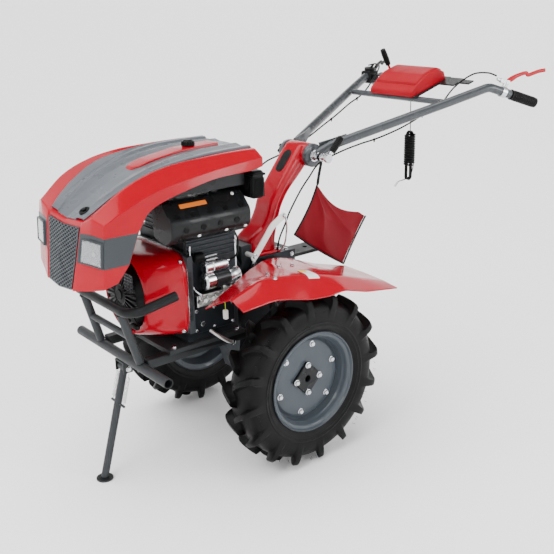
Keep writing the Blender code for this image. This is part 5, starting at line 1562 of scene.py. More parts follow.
# ------------------------------------------------------------------ drive
@dataclass
class Drive:
    """Gearbox, clutch housing, clutch arm and hitch, with their bolts and ribs."""

    top: float = 0.64
    clutch_z: float = 0.595

    def build(self) -> None:
        """Make and dress the drive."""
        soft_copy("gearbox_case", "gearbox_casting", CAST_IRON, CHASSIS, 0.005)
        ribs = [slab([(0.048, 0.3), (0.086, 0.4), (0.11, 0.47), (0.1, 0.47), (0.07, 0.4),
                      (0.03, 0.33)], 0.006, (x, 0, 0), Y, Z)
                for x in (0.067, 0.03)]
        ribs += [rounded_box((0.063, -0.03, 0.5 + 0.03 * k), (0.069, 0.17, 0.506 + 0.03 * k), 0.002)
                 for k in range(4)]
        put("gearbox_ribs", both(joined(*ribs)), CAST_IRON, CHASSIS)
        lid = [(0.064, y, z)
               for y, z in ((0.0, 0.625), (0.08, 0.625), (0.165, 0.625), (0.165, 0.56),
                            (0.165, 0.49), (0.01, 0.56))]
        around = circle((0.194, 0, 0.295), 0.047, 6)
        top = [(s * 0.05, y, self.top) for s in (-1, 1) for y in (0.15, 0.02)]
        put("gearbox_bolts", joined(both(bolts(lid, X, 0.011)), both(bolts(around, X, 0.011)),
                                    bolts(top, Z, 0.012)), ZINC, CHASSIS)
        bell = [(0, -0.1216), (0.085, -0.1216), (0.092, -0.12), (0.092, -0.112), (0.085, -0.11),
                (0.078, -0.1), (0.06, -0.075), (0.05, -0.06), (0.05, -0.052), (0.056, -0.05),
                (0.056, -0.0455), (0, -0.0455)]
        put("clutch_bell", revolved(bell, (0, 0, self.clutch_z), Y, 56), CAST_IRON, CHASSIS,
            ["clutch_housing"])
        ring = circle((0, -0.112, self.clutch_z), 0.087, 8, axis=1, first=0.2)
        put("clutch_bell_bolts", bolts(ring, Y, 0.01), ZINC, CHASSIS)
        soft_copy("hitch_bracket", "hitch_jaw", POWDER, CHASSIS, 0.0015)
        spots = [(s * 0.034, 0.1925, z) for s in (-1, 1) for z in (0.505, 0.585)]
        put("hitch_bolts", bolts(spots, Y, 0.012), ZINC, CHASSIS)
        self.arm()

    def arm(self) -> None:
        """White dog-leg clutch arm with a bolt at each end and the thin pull rod."""
        line = curve([(0.098, -0.034, 0.648), (0.098, -0.01, 0.674), (0.098, 0.03, 0.722),
                      (0.098, 0.052, 0.748), (0.098, 0.078, 0.765), (0.098, 0.112, 0.784)], 40)
        put("clutch_arm_pressing",
            joined(ribbon(line, X, 0.0225, 0.006),
                   straight((0.0553, -0.024, 0.662), (0.098, -0.024, 0.662), 0.008)), WHITE_ENAMEL,
            CHASSIS, ["clutch_arm"])
        put("clutch_arm_bolts",
            joined(bolt((0.1012, -0.024, 0.662), X, 0.013), bolt((0.1012, 0.104, 0.78), X, 0.011)),
            ZINC, CHASSIS)
        rod = curve([(0.106, 0.104, 0.78), (0.104, 0.112, 0.744), (0.098, 0.11, 0.69),
                     (0.088, 0.104, 0.66)], 24)
        put("clutch_pull_rod", swept(rod, 0.0028, 10, guide=X), ZINC, CHASSIS)


def ribbon(line: Array, face: Point, width: float, wall: float) -> Surface:
    """A flat bar with round ends along a line: half the width falls to zero as a circle does.

    Args:
        line: n x 3 centreline.
        face: normal of the bar's wide face.
        width: across the bar.
        wall: its thickness.
    Returns:
        The closed bar.
    """
    line = np.array(line, float)
    run = run_of(line)
    half = width / 2
    near = np.minimum(run, run[-1] - run)
    ends = np.sqrt(np.clip(1 - (1 - np.clip(near / half, 0, 1)) ** 2, 0, 1)) * half
    ends = np.maximum(ends, 0.0003)
    out = np.array(face, float) / np.linalg.norm(face)
    side = np.cross(out, tangents(line))
    soft = min(wall * 0.2, 0.0008)
    ring = [(-1, -wall / 2 + soft), (-1, wall / 2 - soft), (-0.94, wall / 2), (0.94, wall / 2),
            (1, wall / 2 - soft), (1, -wall / 2 + soft), (0.94, -wall / 2), (-0.94, -wall / 2)]
    grid = np.stack([line + side * ends[:, None] * k + out * h for k, h in ring], 1)
    return capped(grid)


# ------------------------------------------------------------------ column and handlebar
@dataclass
class Column:
    """Red swept column with its head, oval blank plate and side swage."""

    half: float = 0.045
    count: int = 90
    front: tuple = ((0.01, 0.6403), (0.002, 0.69), (0.03, 0.716), (0.06, 0.737), (0.083, 0.775),
                    (0.098, 0.815), (0.132, 0.868), (0.178, 0.928), (0.212, 0.97), (0.232, 0.992))
    rear: tuple = ((0.115, 0.6403), (0.115, 0.68), (0.119, 0.705), (0.125, 0.736), (0.133, 0.765),
                   (0.145, 0.798), (0.177, 0.845), (0.228, 0.894), (0.262, 0.93), (0.284, 0.96))

    def line(self, rail: tuple) -> Array:
        """One line of the column, from its (y, z) points, at evenly spaced places."""
        return curve([(0, y, z) for y, z in rail], self.count)

    def body(self) -> Surface:
        """Rounded-square sections from the foot to the head, with a swage along each side."""
        front, rear = self.line(self.front), self.line(self.rear)
        across, deep = superellipse(turns(72), 7.0)
        deep = (deep + 1) / 2
        swage = np.exp(-((deep - 0.62) / 0.1) ** 2) * (np.abs(across) > 0.9)
        grid = rear[:, None] * (1 - deep)[None, :, None] + front[:, None] * deep[None, :, None]
        grid[..., 0] = self.half * across * (1 + 0.055 * swage - 0.025 * (deep < 0.5))
        return capped(grid)

    def build(self) -> None:
        """Make and dress the column."""
        head = [(0, -0.053), (0.036, -0.053), (0.0385, -0.0515), (0.04, -0.048), (0.04, 0.048),
                (0.0385, 0.0515), (0.036, 0.053), (0, 0.053)]
        put("column_weldment",
            joined(self.body(), revolved(head, PIVOT, X, 64),
                   rounded_box((-0.06, 0.004, 0.6403), (0.06, 0.122, 0.652), 0.003)), RED_ENAMEL,
            CHASSIS, ["steering_column"], sharp=40)
        front = self.line(self.front)
        at = np.linspace(66, 84, 24)
        line = np.stack([np.interp(at, np.arange(self.count), front[:, k]) for k in range(3)], -1)
        way = np.cross(X, tangents(line))
        plate = ribbon(line + way * 0.0006 * np.sign(way[0, 1] * -1), way[12], 0.04, 0.0016)
        put("name_plate_blank", plate, BLACK_NYLON, CHASSIS)
        spots = [(s * 0.053, y, 0.6515) for s in (-1, 1) for y in (0.014, 0.112)]
        put("column_bolts", bolts(spots, Z, 0.013), ZINC, CHASSIS)


@dataclass
class Handlebar:
    """Everything that tilts with the clamp: tubes, grips, console and levers."""

    tube: float = 0.016
    lug_in: float = 0.0533
    lug_out: float = 0.0713
    grip_length: float = 0.115

    def corners(self) -> list[Array]:
        """Corner points of the left tube, from its lug to the end of its grip."""
        start = (self.lug_in + self.tube + 0.001, 0.275, 0.96)
        return [np.array(p)
                for p in (start, (0.085, 0.33, 0.985), (0.25, 0.736, 1.106), (0.308, 0.89, 1.152),
                          (0.381, 1.073, 1.085))]

    def bars(self) -> None:
        """Both bent tubes with their clamp lugs and gussets, and the crossbar."""
        corners = self.corners()
        seat = corners[-1] - unit(corners[-1] - corners[-2]) * self.grip_length
        route = bent(corners[:-1] + [seat], 0.055, 12)
        thickness = self.lug_out - self.lug_in
        lug = [(0, 0), (0.036, 0), (0.0385, 0.0012), (0.04, 0.003), (0.04, thickness - 0.003),
               (0.0385, thickness - 0.001), (0.032, thickness), (0.028, thickness + 0.002),
               (0, thickness + 0.002)]
        web = np.array([(0.062, 0.292, 0.997), (0.074, 0.34, 1.006), (0.094, 0.392, 1.019)])
        low = np.array([(0.062, 0.31, 0.94), (0.074, 0.35, 0.968), (0.094, 0.392, 0.995)])
        gusset = thick(np.stack([curve(web, 14), curve(low, 14)], 1), 0.006)
        left = joined(swept(route, self.tube, 28), revolved(lug, (self.lug_in, *PIVOT[1:]), X, 56),
                      orient(gusset))
        knob = [(0, 0), (0.02, 0), (0.026, 0.003), (0.028, 0.008), (0.028, 0.016), (0.024, 0.021),
                (0, 0.022)]
        teeth = [rounded_box(at + (self.lug_in - 0.0001, -0.0014, -0.0014),
                             at + (self.lug_in + 0.01, 0.0026, 0.0026), 0.0008, 1)
                 for at in circle(PIVOT, 0.038, 30)]
        for side, label in SIDES:
            put(f"handle_bar_{label}", joined(left, *teeth).on(side), HANDLE_COAT, HANDLEBAR,
                [f"handle_tube_{label}"], sharp=38)
            self.grip(side, label, seat, corners[-1])
        put("clamp_bolt", straight((self.lug_out, *PIVOT[1:]), (0.1352, *PIVOT[1:]), 0.0085), ZINC,
            HANDLEBAR)
        put("clamp_nuts",
            joined(bolt((0.0735, *PIVOT[1:]), X, 0.028), bolt((0.112, *PIVOT[1:]), X, 0.019)), ZINC,
            HANDLEBAR)
        turned = revolved(knob, (-self.lug_out, *PIVOT[1:]), (-1, 0, 0), 48)
        lobes = [straight(at - (self.lug_out + 0.002, 0, 0), at - (self.lug_out + 0.019, 0, 0),
                          0.006, 12)
                 for at in circle(PIVOT, 0.026, 8)]
        put("clamp_knob", joined(turned, *lobes), BLACK_NYLON, HANDLEBAR)
        put("handle_crossbar", straight((-0.2275, 0.736, 1.106), (0.2275, 0.736, 1.106), 0.011),
            HANDLE_COAT, HANDLEBAR, ["crossbar"])

    def grip(self, side: int, label: str, seat: Array, end: Array) -> None:
        """Ribbed rubber grip: the radius steps between ribs and flutes along its length.

        Args:
            side: 1 for left and -1 for right.
            label: name of that side.
            seat: where the left grip begins.
            end: where the left grip ends.
        """
        length = float(np.linalg.norm(end - seat))
        t = np.linspace(0, 1, 120)
        ribs = 0.0012 * (np.abs(((t * 15) % 1) - 0.5) > 0.26) * (t > 0.12) * (t < 0.9)
        radius = 0.0178 + 0.0014 * np.exp(-((t - 0.03) / 0.03) ** 4) + ribs
        radius = np.minimum(radius, 0.0199)
        radius[-4:] = (0.017, 0.015, 0.011, 0.0)
        radius[:2] = (0.0, 0.015)
        shape = np.stack([radius, t * length], -1)
        part = revolved(shape, seat, end - seat, 36).on(side)
        put(f"ribbed_grip_{label}", part, GRIP_RUBBER, HANDLEBAR, [f"grip_{label}"], sharp=50)

    def knob(self, start: Point, way: Point, body: Point, ribs: Point, count: int) -> Surface:
        """A ribbed knob: a radius that swells as a power of a sine, raised on the ribs.

        Args:
            start: where it begins.
            way: its direction.
            body: least radius, swell, power of the sine and length.
            ribs: height of a rib, ribs along the knob and the share of each that lies low.
            count: points along it.
        Returns:
            The closed surface.
        """
        radius, swell, power, length = body
        rise, number, low = ribs
        t = np.linspace(0, 1, count)
        raised = np.abs((t * number) % 1 - 0.5) > low
        shape = np.stack([radius + swell * np.sin(t * math.pi) ** power + rise * raised,
                          t * length], -1)
        shape[0, 0] = shape[-1, 0] = 0
        return revolved(shape, start, way, 28)

    def deck(self) -> tuple[Array, Array]:
        """Origin and rotation of the console's plane between the tubes."""
        third, fourth = self.corners()[2:4]
        tilt = math.atan2(fourth[2] - third[2], fourth[1] - third[1])
        turn = np.array(((1, 0, 0), (0, math.cos(tilt), -math.sin(tilt)),
                         (0, math.sin(tilt), math.cos(tilt))))
        return np.array((0.0, third[1], third[2])), turn

    def console(self) -> None:
        """Folded black carrier, the red moulded cover and the gear lever with its rubber knob."""
        origin, turn = self.deck()

        def stand(part: Surface) -> Surface:
            """Carry a surface from the deck's plane to its place."""
            return Surface(part.points @ turn.T + origin, part.faces)

        soft_copy("console_plate", "console_carrier", STOVE_BLACK, HANDLEBAR, 0.0012)
        y = np.array([-0.022, -0.021, -0.016, 0.0, 0.03, 0.058, 0.066, 0.08, 0.11, 0.128, 0.136,
                      0.15, 0.16, 0.1645, 0.166])
        z = np.array([0.0, 0.012, 0.018, 0.025, 0.036, 0.044, 0.045, 0.0455, 0.0455, 0.0445, 0.042,
                      0.034, 0.027, 0.022, 0.0])
        half = np.array([0.098, 0.101, 0.103, 0.104, 0.105, 0.105, 0.105, 0.105, 0.105, 0.105,
                         0.105, 0.105, 0.104, 0.102, 0.1])
        line = curve(np.stack([half, y, z], -1), 70)
        across = np.sin(np.linspace(-1, 1, 61) * math.pi / 2)
        edge = np.clip((1 - np.abs(np.linspace(-1, 1, 61))) / 0.1, 0, 1) ** 0.45
        ledge = 0.0075 * (np.abs(np.linspace(-1, 1, 61)) < 0.76)
        grid = np.stack([line[:, :1] * across, line[:, 1:2] + 0 * across,
                         0.0166 + line[:, 2:3] * edge[None] * (1 + 0 * across)
                         + ledge * (line[:, 2:3] > 0.03)], -1)
        put("console_cover_moulding", orient(stand(thick(grid, 0.003))), RED_GRAINED, HANDLEBAR,
            ["console_cover"], sharp=32)
        low = 0.0163
        foot, head = np.array((-0.135, 0.135, low + 0.0014)), np.array((-0.131, 0.105, low + 0.116))
        way = head - foot
        put("gear_rod", stand(straight(foot, foot + way * 0.6, 0.0045)), RED_DIPPED, HANDLEBAR)
        knob = self.knob(foot + way * 0.47, way, (0.0085, 0.0026, 0.5, 0.07), (0.0006, 9, 0.3), 50)
        put("gear_knob", stand(knob), GRIP_RUBBER, HANDLEBAR, ["gear_lever"], sharp=50)

    def levers(self) -> None:
        """Lock lever, the red clutch lever on its perch, and the throttle cluster."""
        start = np.array((0.1353, *PIVOT[1:]))
        head = start + (0.006, 0.052, 0.06)
        put("lock_lever_arm",
            joined(straight(start, start + (0.012, 0, 0), 0.016),
                   straight(start + (0.006, 0, 0), head, 0.006)), ZINC, HANDLEBAR, ["lock_lever"])
        way = head - start
        grip = self.knob(start + way * 0.32 + (0.004, 0, 0), way, (0.01, 0.0022, 0.4, 0.06),
                         (0.0008, 10, 0.28), 60)
        put("lock_lever_grip", grip, GRIP_RUBBER, HANDLEBAR, sharp=50)
        bend, end = self.corners()[-2:]
        along = unit(end - bend)
        up = unit(Z - along * along[2])
        seat = bend + along * 0.06 + up * self.tube
        hinge = seat + up * 0.02
        tip = end + up * 0.12 - along * 0.01
        knee = hinge * 0.75 + tip * 0.25 + up * 0.012
        band = revolved(sleeve(self.tube + 0.0002, self.tube + 0.004, -0.009, 0.009),
                        bend + along * 0.06, along, 36, loop=True)
        side = np.cross(along, up)
        cheek = np.linspace(hinge - along * 0.028, hinge + along * 0.014, 20)
        perch = joined(band, straight(seat, seat + up * 0.014, 0.009),
                       ribbon(cheek + side * 0.007, side, 0.016, 0.002),
                       ribbon(cheek - side * 0.007, side, 0.016, 0.002),
                       straight(hinge - side * 0.01, hinge + side * 0.01, 0.004, 14),
                       straight(hinge - along * 0.04, hinge - along * 0.022, 0.0055, 14))
        lever = curve([hinge - along * 0.012 - up * 0.002, hinge, knee,
                       knee + (tip - knee) * 0.3 + up * 0.004,
                       knee + (tip - knee) * 0.42 - up * 0.006, knee + (tip - knee) * 0.75, tip],
                      80)
        width = 0.007 + 0.0025 * np.exp(-((np.linspace(0, 1, 80) - 0.2) / 0.12) ** 2)
        blade = swept(lever, width, 16, guide=side, squash=0.62)
        for sign, base, coat in ((1, ZINC, RED_DIPPED), (-1, STOVE_BLACK, BLACK_NYLON)):
            label = label_of(sign)
            put(f"lever_perch_{label}", perch.on(sign), base, HANDLEBAR)
            put(f"lever_blade_{label}", blade.on(sign), coat, HANDLEBAR, [f"hand_lever_{label}"])
        far = (bend + along * 0.02) * (-1, 1, 1)
        cluster = joined(rounded_box(far + (-0.02, -0.03, -0.024), far + (0.034, 0.024, 0.026),
                                     0.009, 4),
                         revolved([(0, 0), (0.02, 0), (0.022, 0.003), (0.021, 0.012), (0.01, 0.014),
                                   (0, 0.014)],
                                  far + (0.01, -0.006, 0.026), (0.1, -0.1, 1), 32),
                         rounded_box(far + (0.03, -0.018, -0.012), far + (0.05, 0.008, 0.014),
                                     0.004),
                         ribbon(np.linspace(far + (0.012, 0, 0.04), far + (0.05, -0.026, 0.052),
                                            24), (0.3, 0, 1), 0.01, 0.003))
        put("switch_cluster", cluster, BLACK_NYLON, HANDLEBAR)

    def build(self) -> None:
        """Make and dress the handlebar."""
        self.bars()
        self.console()
        self.levers()


def orient(part: Surface) -> Surface:
    """Turn a closed surface's faces outwards if its signed volume says they point in."""
    total = 0.0
    for faces in part.faces:
        for k in range(1, faces.shape[1] - 1):
            a, b, c = (part.points[faces[:, i]] for i in (0, k, k + 1))
            total += float(np.einsum("ij,ij->i", a, np.cross(b, c)).sum())
    return part if total > 0 else Surface(part.points, [f[:, ::-1] for f in part.faces])


# ------------------------------------------------------------------ guards, bag and wiring
@dataclass
class Mudguard:
    """Folded sheet over one wheel, with pressed facets and a rolled hem."""

    side: int
    rows: int = 130
    columns: int = 44
    inner: tuple = ((0.15, 0.34, 0.563), (0.145, 0.2, 0.6), (0.12, 0.1, 0.636), (0.12, 0.04, 0.648),
                    (0.16, -0.04, 0.664), (0.2, -0.128, 0.66), (0.202, -0.18, 0.634),
                    (0.205, -0.3, 0.578))
    fold: tuple = (0.556, 0.6, 0.63, 0.645, 0.662, 0.676, 0.681, 0.645)
    hem: tuple = (0.547, 0.568, 0.597, 0.592, 0.6, 0.622, 0.632, 0.625)

    def grid(self) -> Array:
        """Rows from rear to front, columns from the inner edge over the fold to the hem."""
        inner = np.array(self.inner)
        y = inner[:, 1]
        fold = np.stack([np.full(8, 0.34), y, self.fold], -1)
        hem = np.stack([np.full(8, 0.402), y, self.hem], -1)
        lines = np.stack([inner, (inner + fold) / 2 + (0, 0, 0.0015), fold, hem], 1)
        facets = eased(lines.transpose(1, 0, 2), range(1, 7), 0.018, 6).transpose(1, 0, 2)
        dense = between(facets, np.linspace(0, len(facets) - 1, self.rows), np.arange(4.0))
        grid = eased(dense, (2,), 0.012, 5)
        return between(grid, np.arange(float(self.rows)),
                       np.linspace(0, grid.shape[1] - 1, self.columns))

    def label(self, grid: Array, low: Point, high: Point, lift: float) -> Surface:
        """A blank film laid on the guard: its height at (x, y) is read off the guard's own grid.

        Args:
            grid: the guard's outer face.
            low: least x and y.
            high: greatest x and y.
            lift: how far it stands off.
        Returns:
            The closed film.
        """
        rows = np.interp(-np.linspace(high[1], low[1], 12), -grid[:, 0, 1],
                         np.arange(len(grid), dtype=float))
        strip = between(grid, rows, np.arange(float(grid.shape[1])))
        first, width = strip[:, :1, 0], strip[:, -1:, 0] - strip[:, :1, 0]
        share = (np.linspace(low[0], high[0], 16)[None] - first) / width
        spread = (strip[:, :, 0] - first) / width
        column = np.stack([np.interp(s, k, np.arange(len(k), dtype=float))
                           for s, k in zip(share, spread)])
        near = np.clip(column.astype(int), 0, grid.shape[1] - 2)
        part = (column - near)[..., None]
        line = np.arange(len(rows))[:, None]
        return thick(strip[line, near] * (1 - part) + strip[line, near + 1] * part + (0, 0, lift),
                     -0.0004)

    def build(self) -> None:
        """Make and dress one guard with its bolts and blank labels."""
        label = label_of(self.side)
        grid = self.grid()
        part = thick(grid, 0.003)
        hem = swept(grid[:, -1] + (-0.0012, 0, -0.0015), 0.0028, 10)
        spots = [grid[i, j] + (0, 0, 0.0004) for i, j in ((58, 5), (74, 5), (96, 8), (100, 30))]
        fix = joined(*[bolt(s, (0.05, 0, 1), 0.011) for s in spots])
        white = self.label(grid, (0.296, -0.006), (0.352, 0.04), 0.001)
        yellow = self.label(grid, (0.296, -0.006), (0.318, 0.022), 0.0015)
        put(f"guard_pressing_{label}", joined(part, hem).on(self.side), RED_ENAMEL, CHASSIS,
            [f"mudguard_{label}"], sharp=20)
        put(f"guard_bolts_{label}", fix.on(self.side), ZINC, CHASSIS)
        if self.side > 0:
            put("guard_label_blank", white, FILM_WHITE, CHASSIS)
            put("guard_label_band", yellow, FILM_YELLOW, CHASSIS)


@dataclass
class ToolBag:
    """Flat nylon bag with bound edges, hung by its strap from the clamp bolt."""

    x: float = 0.128
    corners: tuple = ((0.229, 0.872), (0.46, 0.72), (0.353, 0.562), (0.125, 0.714))
    wide: int = 64

    def rim(self, u: Array, v: Array) -> Array:
        """Bag outline, bilinear in (u, v), its sides bowed a little by the load.

        Args:
            u: share of the way from the top corner to the rear one.
            v: share of the way from the top corner to the front one.
        Returns:
            (y, z) for each pair.
        """
        top, right, low, left = (np.array(c) for c in self.corners)
        flat = (((1 - u) * (1 - v))[..., None] * top + (u * (1 - v))[..., None] * right
                + (u * v)[..., None] * low + ((1 - u) * v)[..., None] * left)
        pull = np.sin(np.clip(u * 1.15, 0, 1) * math.pi) * (1 - v) ** 1.5
        flat[..., 1] -= 0.026 * pull + 0.005 * np.sin(u * math.pi) * v
        flat[..., 0] -= 0.012 * pull
        flat[..., 0] += 0.01 * np.sin(v * math.pi) * (1 - u) - 0.004 * np.sin(v * math.pi) * u
        return flat

    def shell(self) -> Surface:
        """Two panels that meet at the rim: a dome, plus folds that fan from the strap."""
        u, v = np.meshgrid(np.linspace(0, 1, self.wide), np.linspace(0, 1, self.wide),
                           indexing="ij")
        flat = self.rim(u, v)
        dome = (np.sin(u * math.pi) * np.sin(v * math.pi)) ** 0.6
        fan = np.arctan2(v + 0.04, u + 0.04)
        reach = np.hypot(u, v)
        crease = 1 - np.abs(np.sin(fan * 5.5 + 1.1 * reach + 0.5 * np.sin(reach * 5)))
        cross = 1 - np.abs(np.sin(u * 3.1 - v * 4.7 + 0.8 * np.sin(u * 6)))
        folds = (0.011 * crease ** 1.6 * np.exp(-reach * 0.75) + 0.0065 * cross ** 2.2 * v
                 + 0.003 * np.sin(u * 9 - v * 5 + 1.3)) * np.clip(dome * 1.6, 0, 1)
        panels = []
        for sign in (1.0, -1.0):
            x = self.x + sign * (0.0115 * dome * (0.5 + 0.5 * v)) + folds - 0.004
            panels.append(np.stack([x, flat[..., 0], flat[..., 1]], -1))
        front = lattice(panels[0])
        back = lattice(panels[1])
        return orient(joined(front, Surface(back.points, [f[:, ::-1] for f in back.faces])))

    def build(self) -> None:
        """Make and dress the bag, its bindings and its strap."""
        bag = put("tool_bag_shell", self.shell(), BAG_NYLON, CHASSIS, ["tool_bag"], sharp=60,
                  smooth=1)
        t = np.linspace(0, 1, 50)
        edges = []
        for u, v in ((np.ones(50), t), (1 - t, np.ones(50)), (np.zeros(50), 1 - t)):
            flat = self.rim(u, v)
            edges.append(swept(np.stack([np.full(50, self.x), flat[:, 0], flat[:, 1]], -1), 0.0028,
                               10, guide=X, squash=1.3))
        put("tool_bag_binding", joined(*edges), BINDING, CHASSIS)
        strap = curve([(self.x, 0.229, 0.868), (0.122, 0.241, 0.9), (0.114, 0.258, 0.936),
                       (0.11, 0.265, 0.9425)], 30)
        put("tool_bag_strap", ribbon(strap, X, 0.012, 0.0025), BINDING, CHASSIS)
        loop = revolved(sleeve(0.0112, 0.0136, -0.006, 0.006), (0.1055, *PIVOT[1:]), X, 28,
                        loop=True)
        put("tool_bag_loop", loop, BINDING, CHASSIS)


@dataclass
class Wiring:
    """Control cables across the pivot, the spare harness on the console and the sensor lead."""

    cable: float = 0.003
    cable_points: int = 190
    harness: float = 0.0018
    hank_turns: int = 4

    def controls(self) -> None:
        """Clutch and throttle cables, each one piece from the chassis across the pivot to the
        handlebar, left in the shared frame.
        """
        clutch = curve([(0.058, 0.106, 0.6415), (0.068, 0.108, 0.69), (0.09, 0.116, 0.744),
                        (0.098, 0.13, 0.786), (0.1, 0.175, 0.85), (0.1, 0.216, 0.893),
                        (0.1, 0.262, 0.934), (0.108, 0.349, 0.962), (0.12, 0.435, 0.981),
                        (0.14, 0.503, 0.996), (0.165, 0.582, 1.022), (0.19, 0.64, 1.052),
                        (0.19, 0.7, 1.074), (0.198, 0.765, 1.098), (0.205, 0.825, 1.15),
                        (0.235, 0.885, 1.192), (0.282, 0.91, 1.199), (0.3216, 0.912, 1.191)],
                       self.cable_points)
        throttle = curve([(-0.048, -0.0942, 0.935), (-0.05, -0.055, 0.932), (-0.075, 0.108, 0.908),
                          (-0.1, 0.2, 0.925), (-0.104, 0.262, 0.938), (-0.115, 0.349, 0.958),
                          (-0.13, 0.43, 0.985), (-0.15, 0.5, 1.006), (-0.175, 0.591, 1.033),
                          (-0.2, 0.69, 1.068), (-0.205, 0.765, 1.098), (-0.208, 0.825, 1.15),
                          (-0.235, 0.885, 1.192), (-0.282, 0.91, 1.199), (-0.3216, 0.912, 1.191)],
                         self.cable_points)
        for name, route, x in (("clutch_cable", clutch, 0.1), ("throttle_cable", throttle, -0.104)):
            put(name, swept(route, self.cable, 12, guide=(1, 0.1, 0)), CABLE_PVC, CHASSIS,
                [f"{name}_low", f"{name}_high"], body_b=HANDLEBAR)
        ties = []
        for route, spots in ((clutch, (97, 131)), (throttle, (112, 142))):
            way = tangents(route)
            for k in spots:
                ties.append(revolved(sleeve(0.0032, 0.0046, -0.0018, 0.0018), route[k], way[k], 18,
                                     loop=True))
                ties.append(rounded_box(route[k] + (-0.002, -0.002, -0.01),
                                        route[k] + (0.002, 0.002, -0.003), 0.0008))
        put("cable_ties", joined(*ties), BLACK_NYLON, HANDLEBAR)

    def hank(self) -> None:
        """Spare lead folded into a hank, with a curve in from the gland and one out to the lug.

        The hank is a racetrack of two straights and two half circles that steps sideways by one
        thickness a turn.
        """
        x0, y0 = 0.05, 0.764
        top, low, half = 0.985, 0.79, 0.0128
        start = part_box("harness_lead")[1][2]
        rise, fall = top - half - 0.004, low + half + 0.004
        run, arc = rise - fall, math.pi * half
        pitch, first = 2 * self.harness + 0.0003, x0 - 0.008
        t = np.linspace(0, self.hank_turns, 90 * self.hank_turns)
        s = (t % 1.0) * 2 * (run + arc)
        s[-1] = 2 * (run + arc)
        down, low_turn = np.clip(s, 0, run), np.clip((s - run) / half, 0, math.pi)
        up, top_turn = np.clip(s - run - arc, 0, run), np.clip(
            (s - 2 * run - arc) / half, 0, math.pi)
        loops = np.stack([first + pitch * t, y0 + half * (np.cos(low_turn) + 1 - np.cos(top_turn)),
                          rise - down - half * np.sin(low_turn) + up + half * np.sin(top_turn)], -1)
        lead = curve([(x0, 0.765, start), (x0 - 0.0002, 0.7652, start - 0.018),
                      (x0 - 0.002, 0.768, 1.062), (x0 - 0.0055, 0.7735, 1.015),
                      (first - 0.0001, y0 + half, rise + 0.012), (first, y0 + half, rise + 0.002)],
                     60)
        last = x0 + 0.0165
        tail = curve([loops[-1] - (-0.0004, 0, 0.003), (x0 + 0.0136, y0 + half, 0.93),
                      (last, y0 + half - 0.001, 0.88), (last, 0.77, 0.838),
                      (last - 0.001, 0.757, 0.814), (x0 + 0.01, 0.741, 0.802),
                      (x0 + 0.003, 0.725, 0.797), (x0, 0.71, 0.7946)], 90)
        rough = np.vstack([lead, loops[1:], tail])
        route = curve(rough[::3].tolist() + [rough[-1].tolist()], 520)
        cord = put("harness_cord", swept(route, self.harness, 10, guide=(1, 0.15, 0.1)), CABLE_PVC,
                   HANDLEBAR, ["harness_lead", "harness_hank", "harness_tail"])
        self.dress("harness_plug", DIE_CAST)
        t = np.linspace(0, 1, 480)
        angle = t * TAU * 13
        wrap = np.stack([x0 + 0.003 + 0.0175 * np.cos(angle), y0 + 0.019 * np.sin(angle),
                         0.968 - 0.115 * t], -1)
        relief = [(0.0024, 0.0), (0.0058, 0.0), (0.0062, 0.003), (0.005, 0.006), (0.0032, 0.02),
                  (0.0024, 0.021)]
        put("harness_strain_relief",
            revolved(relief, (x0, 0.765, start), (0, 0, -1), 28, loop=True), GRIP_RUBBER, HANDLEBAR)
        put("harness_wrap", swept(wrap, 0.0038, 8, guide=Z), CABLE_PVC, HANDLEBAR)

    def sensor(self) -> None:
        """Short loose lead with a white plug below the pump."""
        route = curve([(0.1726, -0.215, 0.59), (0.18, -0.2145, 0.5895), (0.185, -0.211, 0.57),
                       (0.185, -0.21, 0.5455)], 40)
        cord = put("sensor_wire", swept(route, 0.0013, 8, guide=(0, 1, 0.1)), GREEN_WIRE, CHASSIS,
                   ["sensor_lead"])
        self.dress("sensor_plug", WHITE_NYLON)

    def dress(self, node: str, finish: Finish) -> None:
        """Give a kept CAD node its material.

        Args:
            node: the node's name.
            finish: its material.
        """
        obj = FRAME["nodes"][node]
        obj.data.materials.clear()
        obj.data.materials.append(finish.material())

    def build(self) -> None:
        """Make and dress all wiring."""
        self.hank()
        self.sensor()
        self.controls()


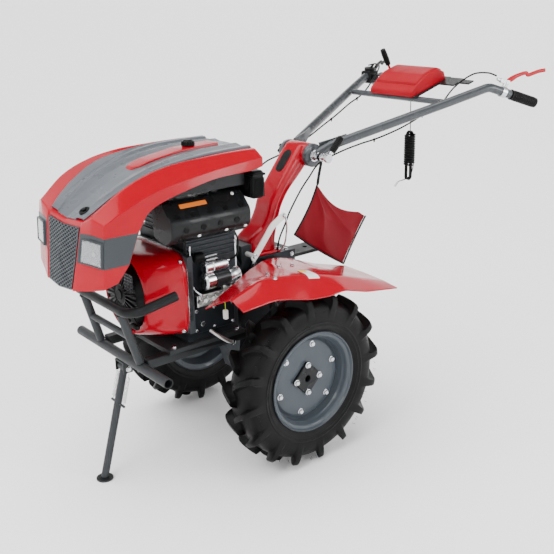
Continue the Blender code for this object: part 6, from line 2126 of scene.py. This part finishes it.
# ------------------------------------------------------------------ stage
@dataclass
class Studio:
    """Camera, pale floor and soft lights."""

    azimuth: float = math.radians(51.21)
    elevation: float = math.radians(18.86)
    roll: float = math.radians(-1.02)
    place: tuple = (2.2586, -1.8815, 1.515)
    lens: float = 55.79
    target: tuple = (0, -0.1, 0.6)
    floor_half: float = 150.0
    flat_reach: float = 20.0
    bowl: float = 0.006

    def camera(self) -> None:
        """Camera whose columns are its right, up and backward directions."""
        a, e, turn = self.azimuth, self.elevation, self.roll
        back = np.array((math.sin(a) * math.cos(e), -math.cos(a) * math.cos(e), math.sin(e)))
        right = np.array((math.cos(a), math.sin(a), 0.0))
        up = np.cross(back, right)
        one = math.cos(turn) * right + math.sin(turn) * up
        two = math.cos(turn) * up - math.sin(turn) * right
        data = bpy.data.cameras.new("camera")
        data.lens = self.lens
        data.sensor_width = 36.0
        data.clip_end = 4000.0
        bpy.context.scene.camera = self.posed(
            "camera", data, np.column_stack([one, two, back]), self.place)

    def posed(self, name: str, data: bpy.types.ID, columns: Array,
              place: Point) -> bpy.types.Object:
        """Put a new object at a place, its axes along three columns.

        Args:
            name: the object's name.
            data: camera or light.
            columns: 3 x 3 rotation.
            place: where it stands.
        Returns:
            The object.
        """
        obj = linked(name, data)
        pose = np.eye(4)
        pose[:3, :3], pose[:3, 3] = columns, place
        obj.matrix_world = Matrix(pose.tolist())
        return obj

    def light(self, name: str, place: Point, size: tuple[float, float], power: float) -> None:
        """One rectangular softbox that faces the machine.

        Args:
            name: the light's name.
            place: where it stands.
            size: width and height.
            power: in watts.
        """
        data = bpy.data.lights.new(name, "AREA")
        data.shape = "RECTANGLE"
        data.size, data.size_y = size
        data.energy = power
        self.posed(name, data, frame_of(np.array(place) - self.target), place)

    def build(self) -> None:
        """Set the stage."""
        self.camera()
        world = bpy.data.worlds.new("studio")
        world.use_nodes = True
        sky = world.node_tree.nodes["Background"].inputs
        sky["Color"].default_value = linear("#FFFFFF")
        sky["Strength"].default_value = 0.12
        bpy.context.scene.world = world
        self.light("key_softbox", (0.9, -3.0, 2.8), (1.4, 0.9), 36.0)
        self.light("side_softbox", (3.2, 1.6, 1.7), (0.7, 1.8), 45.0)
        sun = bpy.data.lights.new("overhead_fill", "SUN")
        sun.energy = 5.0
        sun.angle = math.radians(70)
        linked("overhead_fill", sun).rotation_euler = (math.radians(16), math.radians(-8), 0)
        self.ground()

    def ground(self) -> None:
        """Paper floor, flat under the machine and a bowl farther out.

        Its height is the bowl factor times the squared distance past the flat part.
        """
        reach = np.linspace(-self.floor_half, self.floor_half, 121)
        x, y = np.meshgrid(reach, reach, indexing="ij")
        rise = self.bowl * np.clip(np.hypot(x, y) - self.flat_reach, 0, None) ** 2
        surface = lattice(np.stack([x, y, rise - 0.0005], -1))
        mesh = bpy.data.meshes.new("floor")
        mesh.from_pydata(surface.points.tolist(), [], surface.faces[0].tolist())
        mesh.shade_smooth()
        made = bpy.data.materials.new("studio_paper")
        made.use_nodes = True
        shader = made.node_tree.nodes["Principled BSDF"]
        shader.inputs["Base Color"].default_value = linear("#FFFFFF")
        shader.inputs["Roughness"].default_value = 0.9
        mesh.materials.append(made)
        floor = linked("floor", mesh)


def main() -> None:
    """Build the studio and every sub-assembly in order."""
    logging.basicConfig(level=logging.INFO, format="%(message)s")
    FRAME.update(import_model())
    Studio().build()
    Wiring().build()
    for side in (1, -1):
        Wheel(side).build()
        Mudguard(side).build()
    for assembly in (FrontFrame, Engine, Hood, Drive, Column, Handlebar, ToolBag):
        assembly().build()


if __name__ == "__main__":
    main()
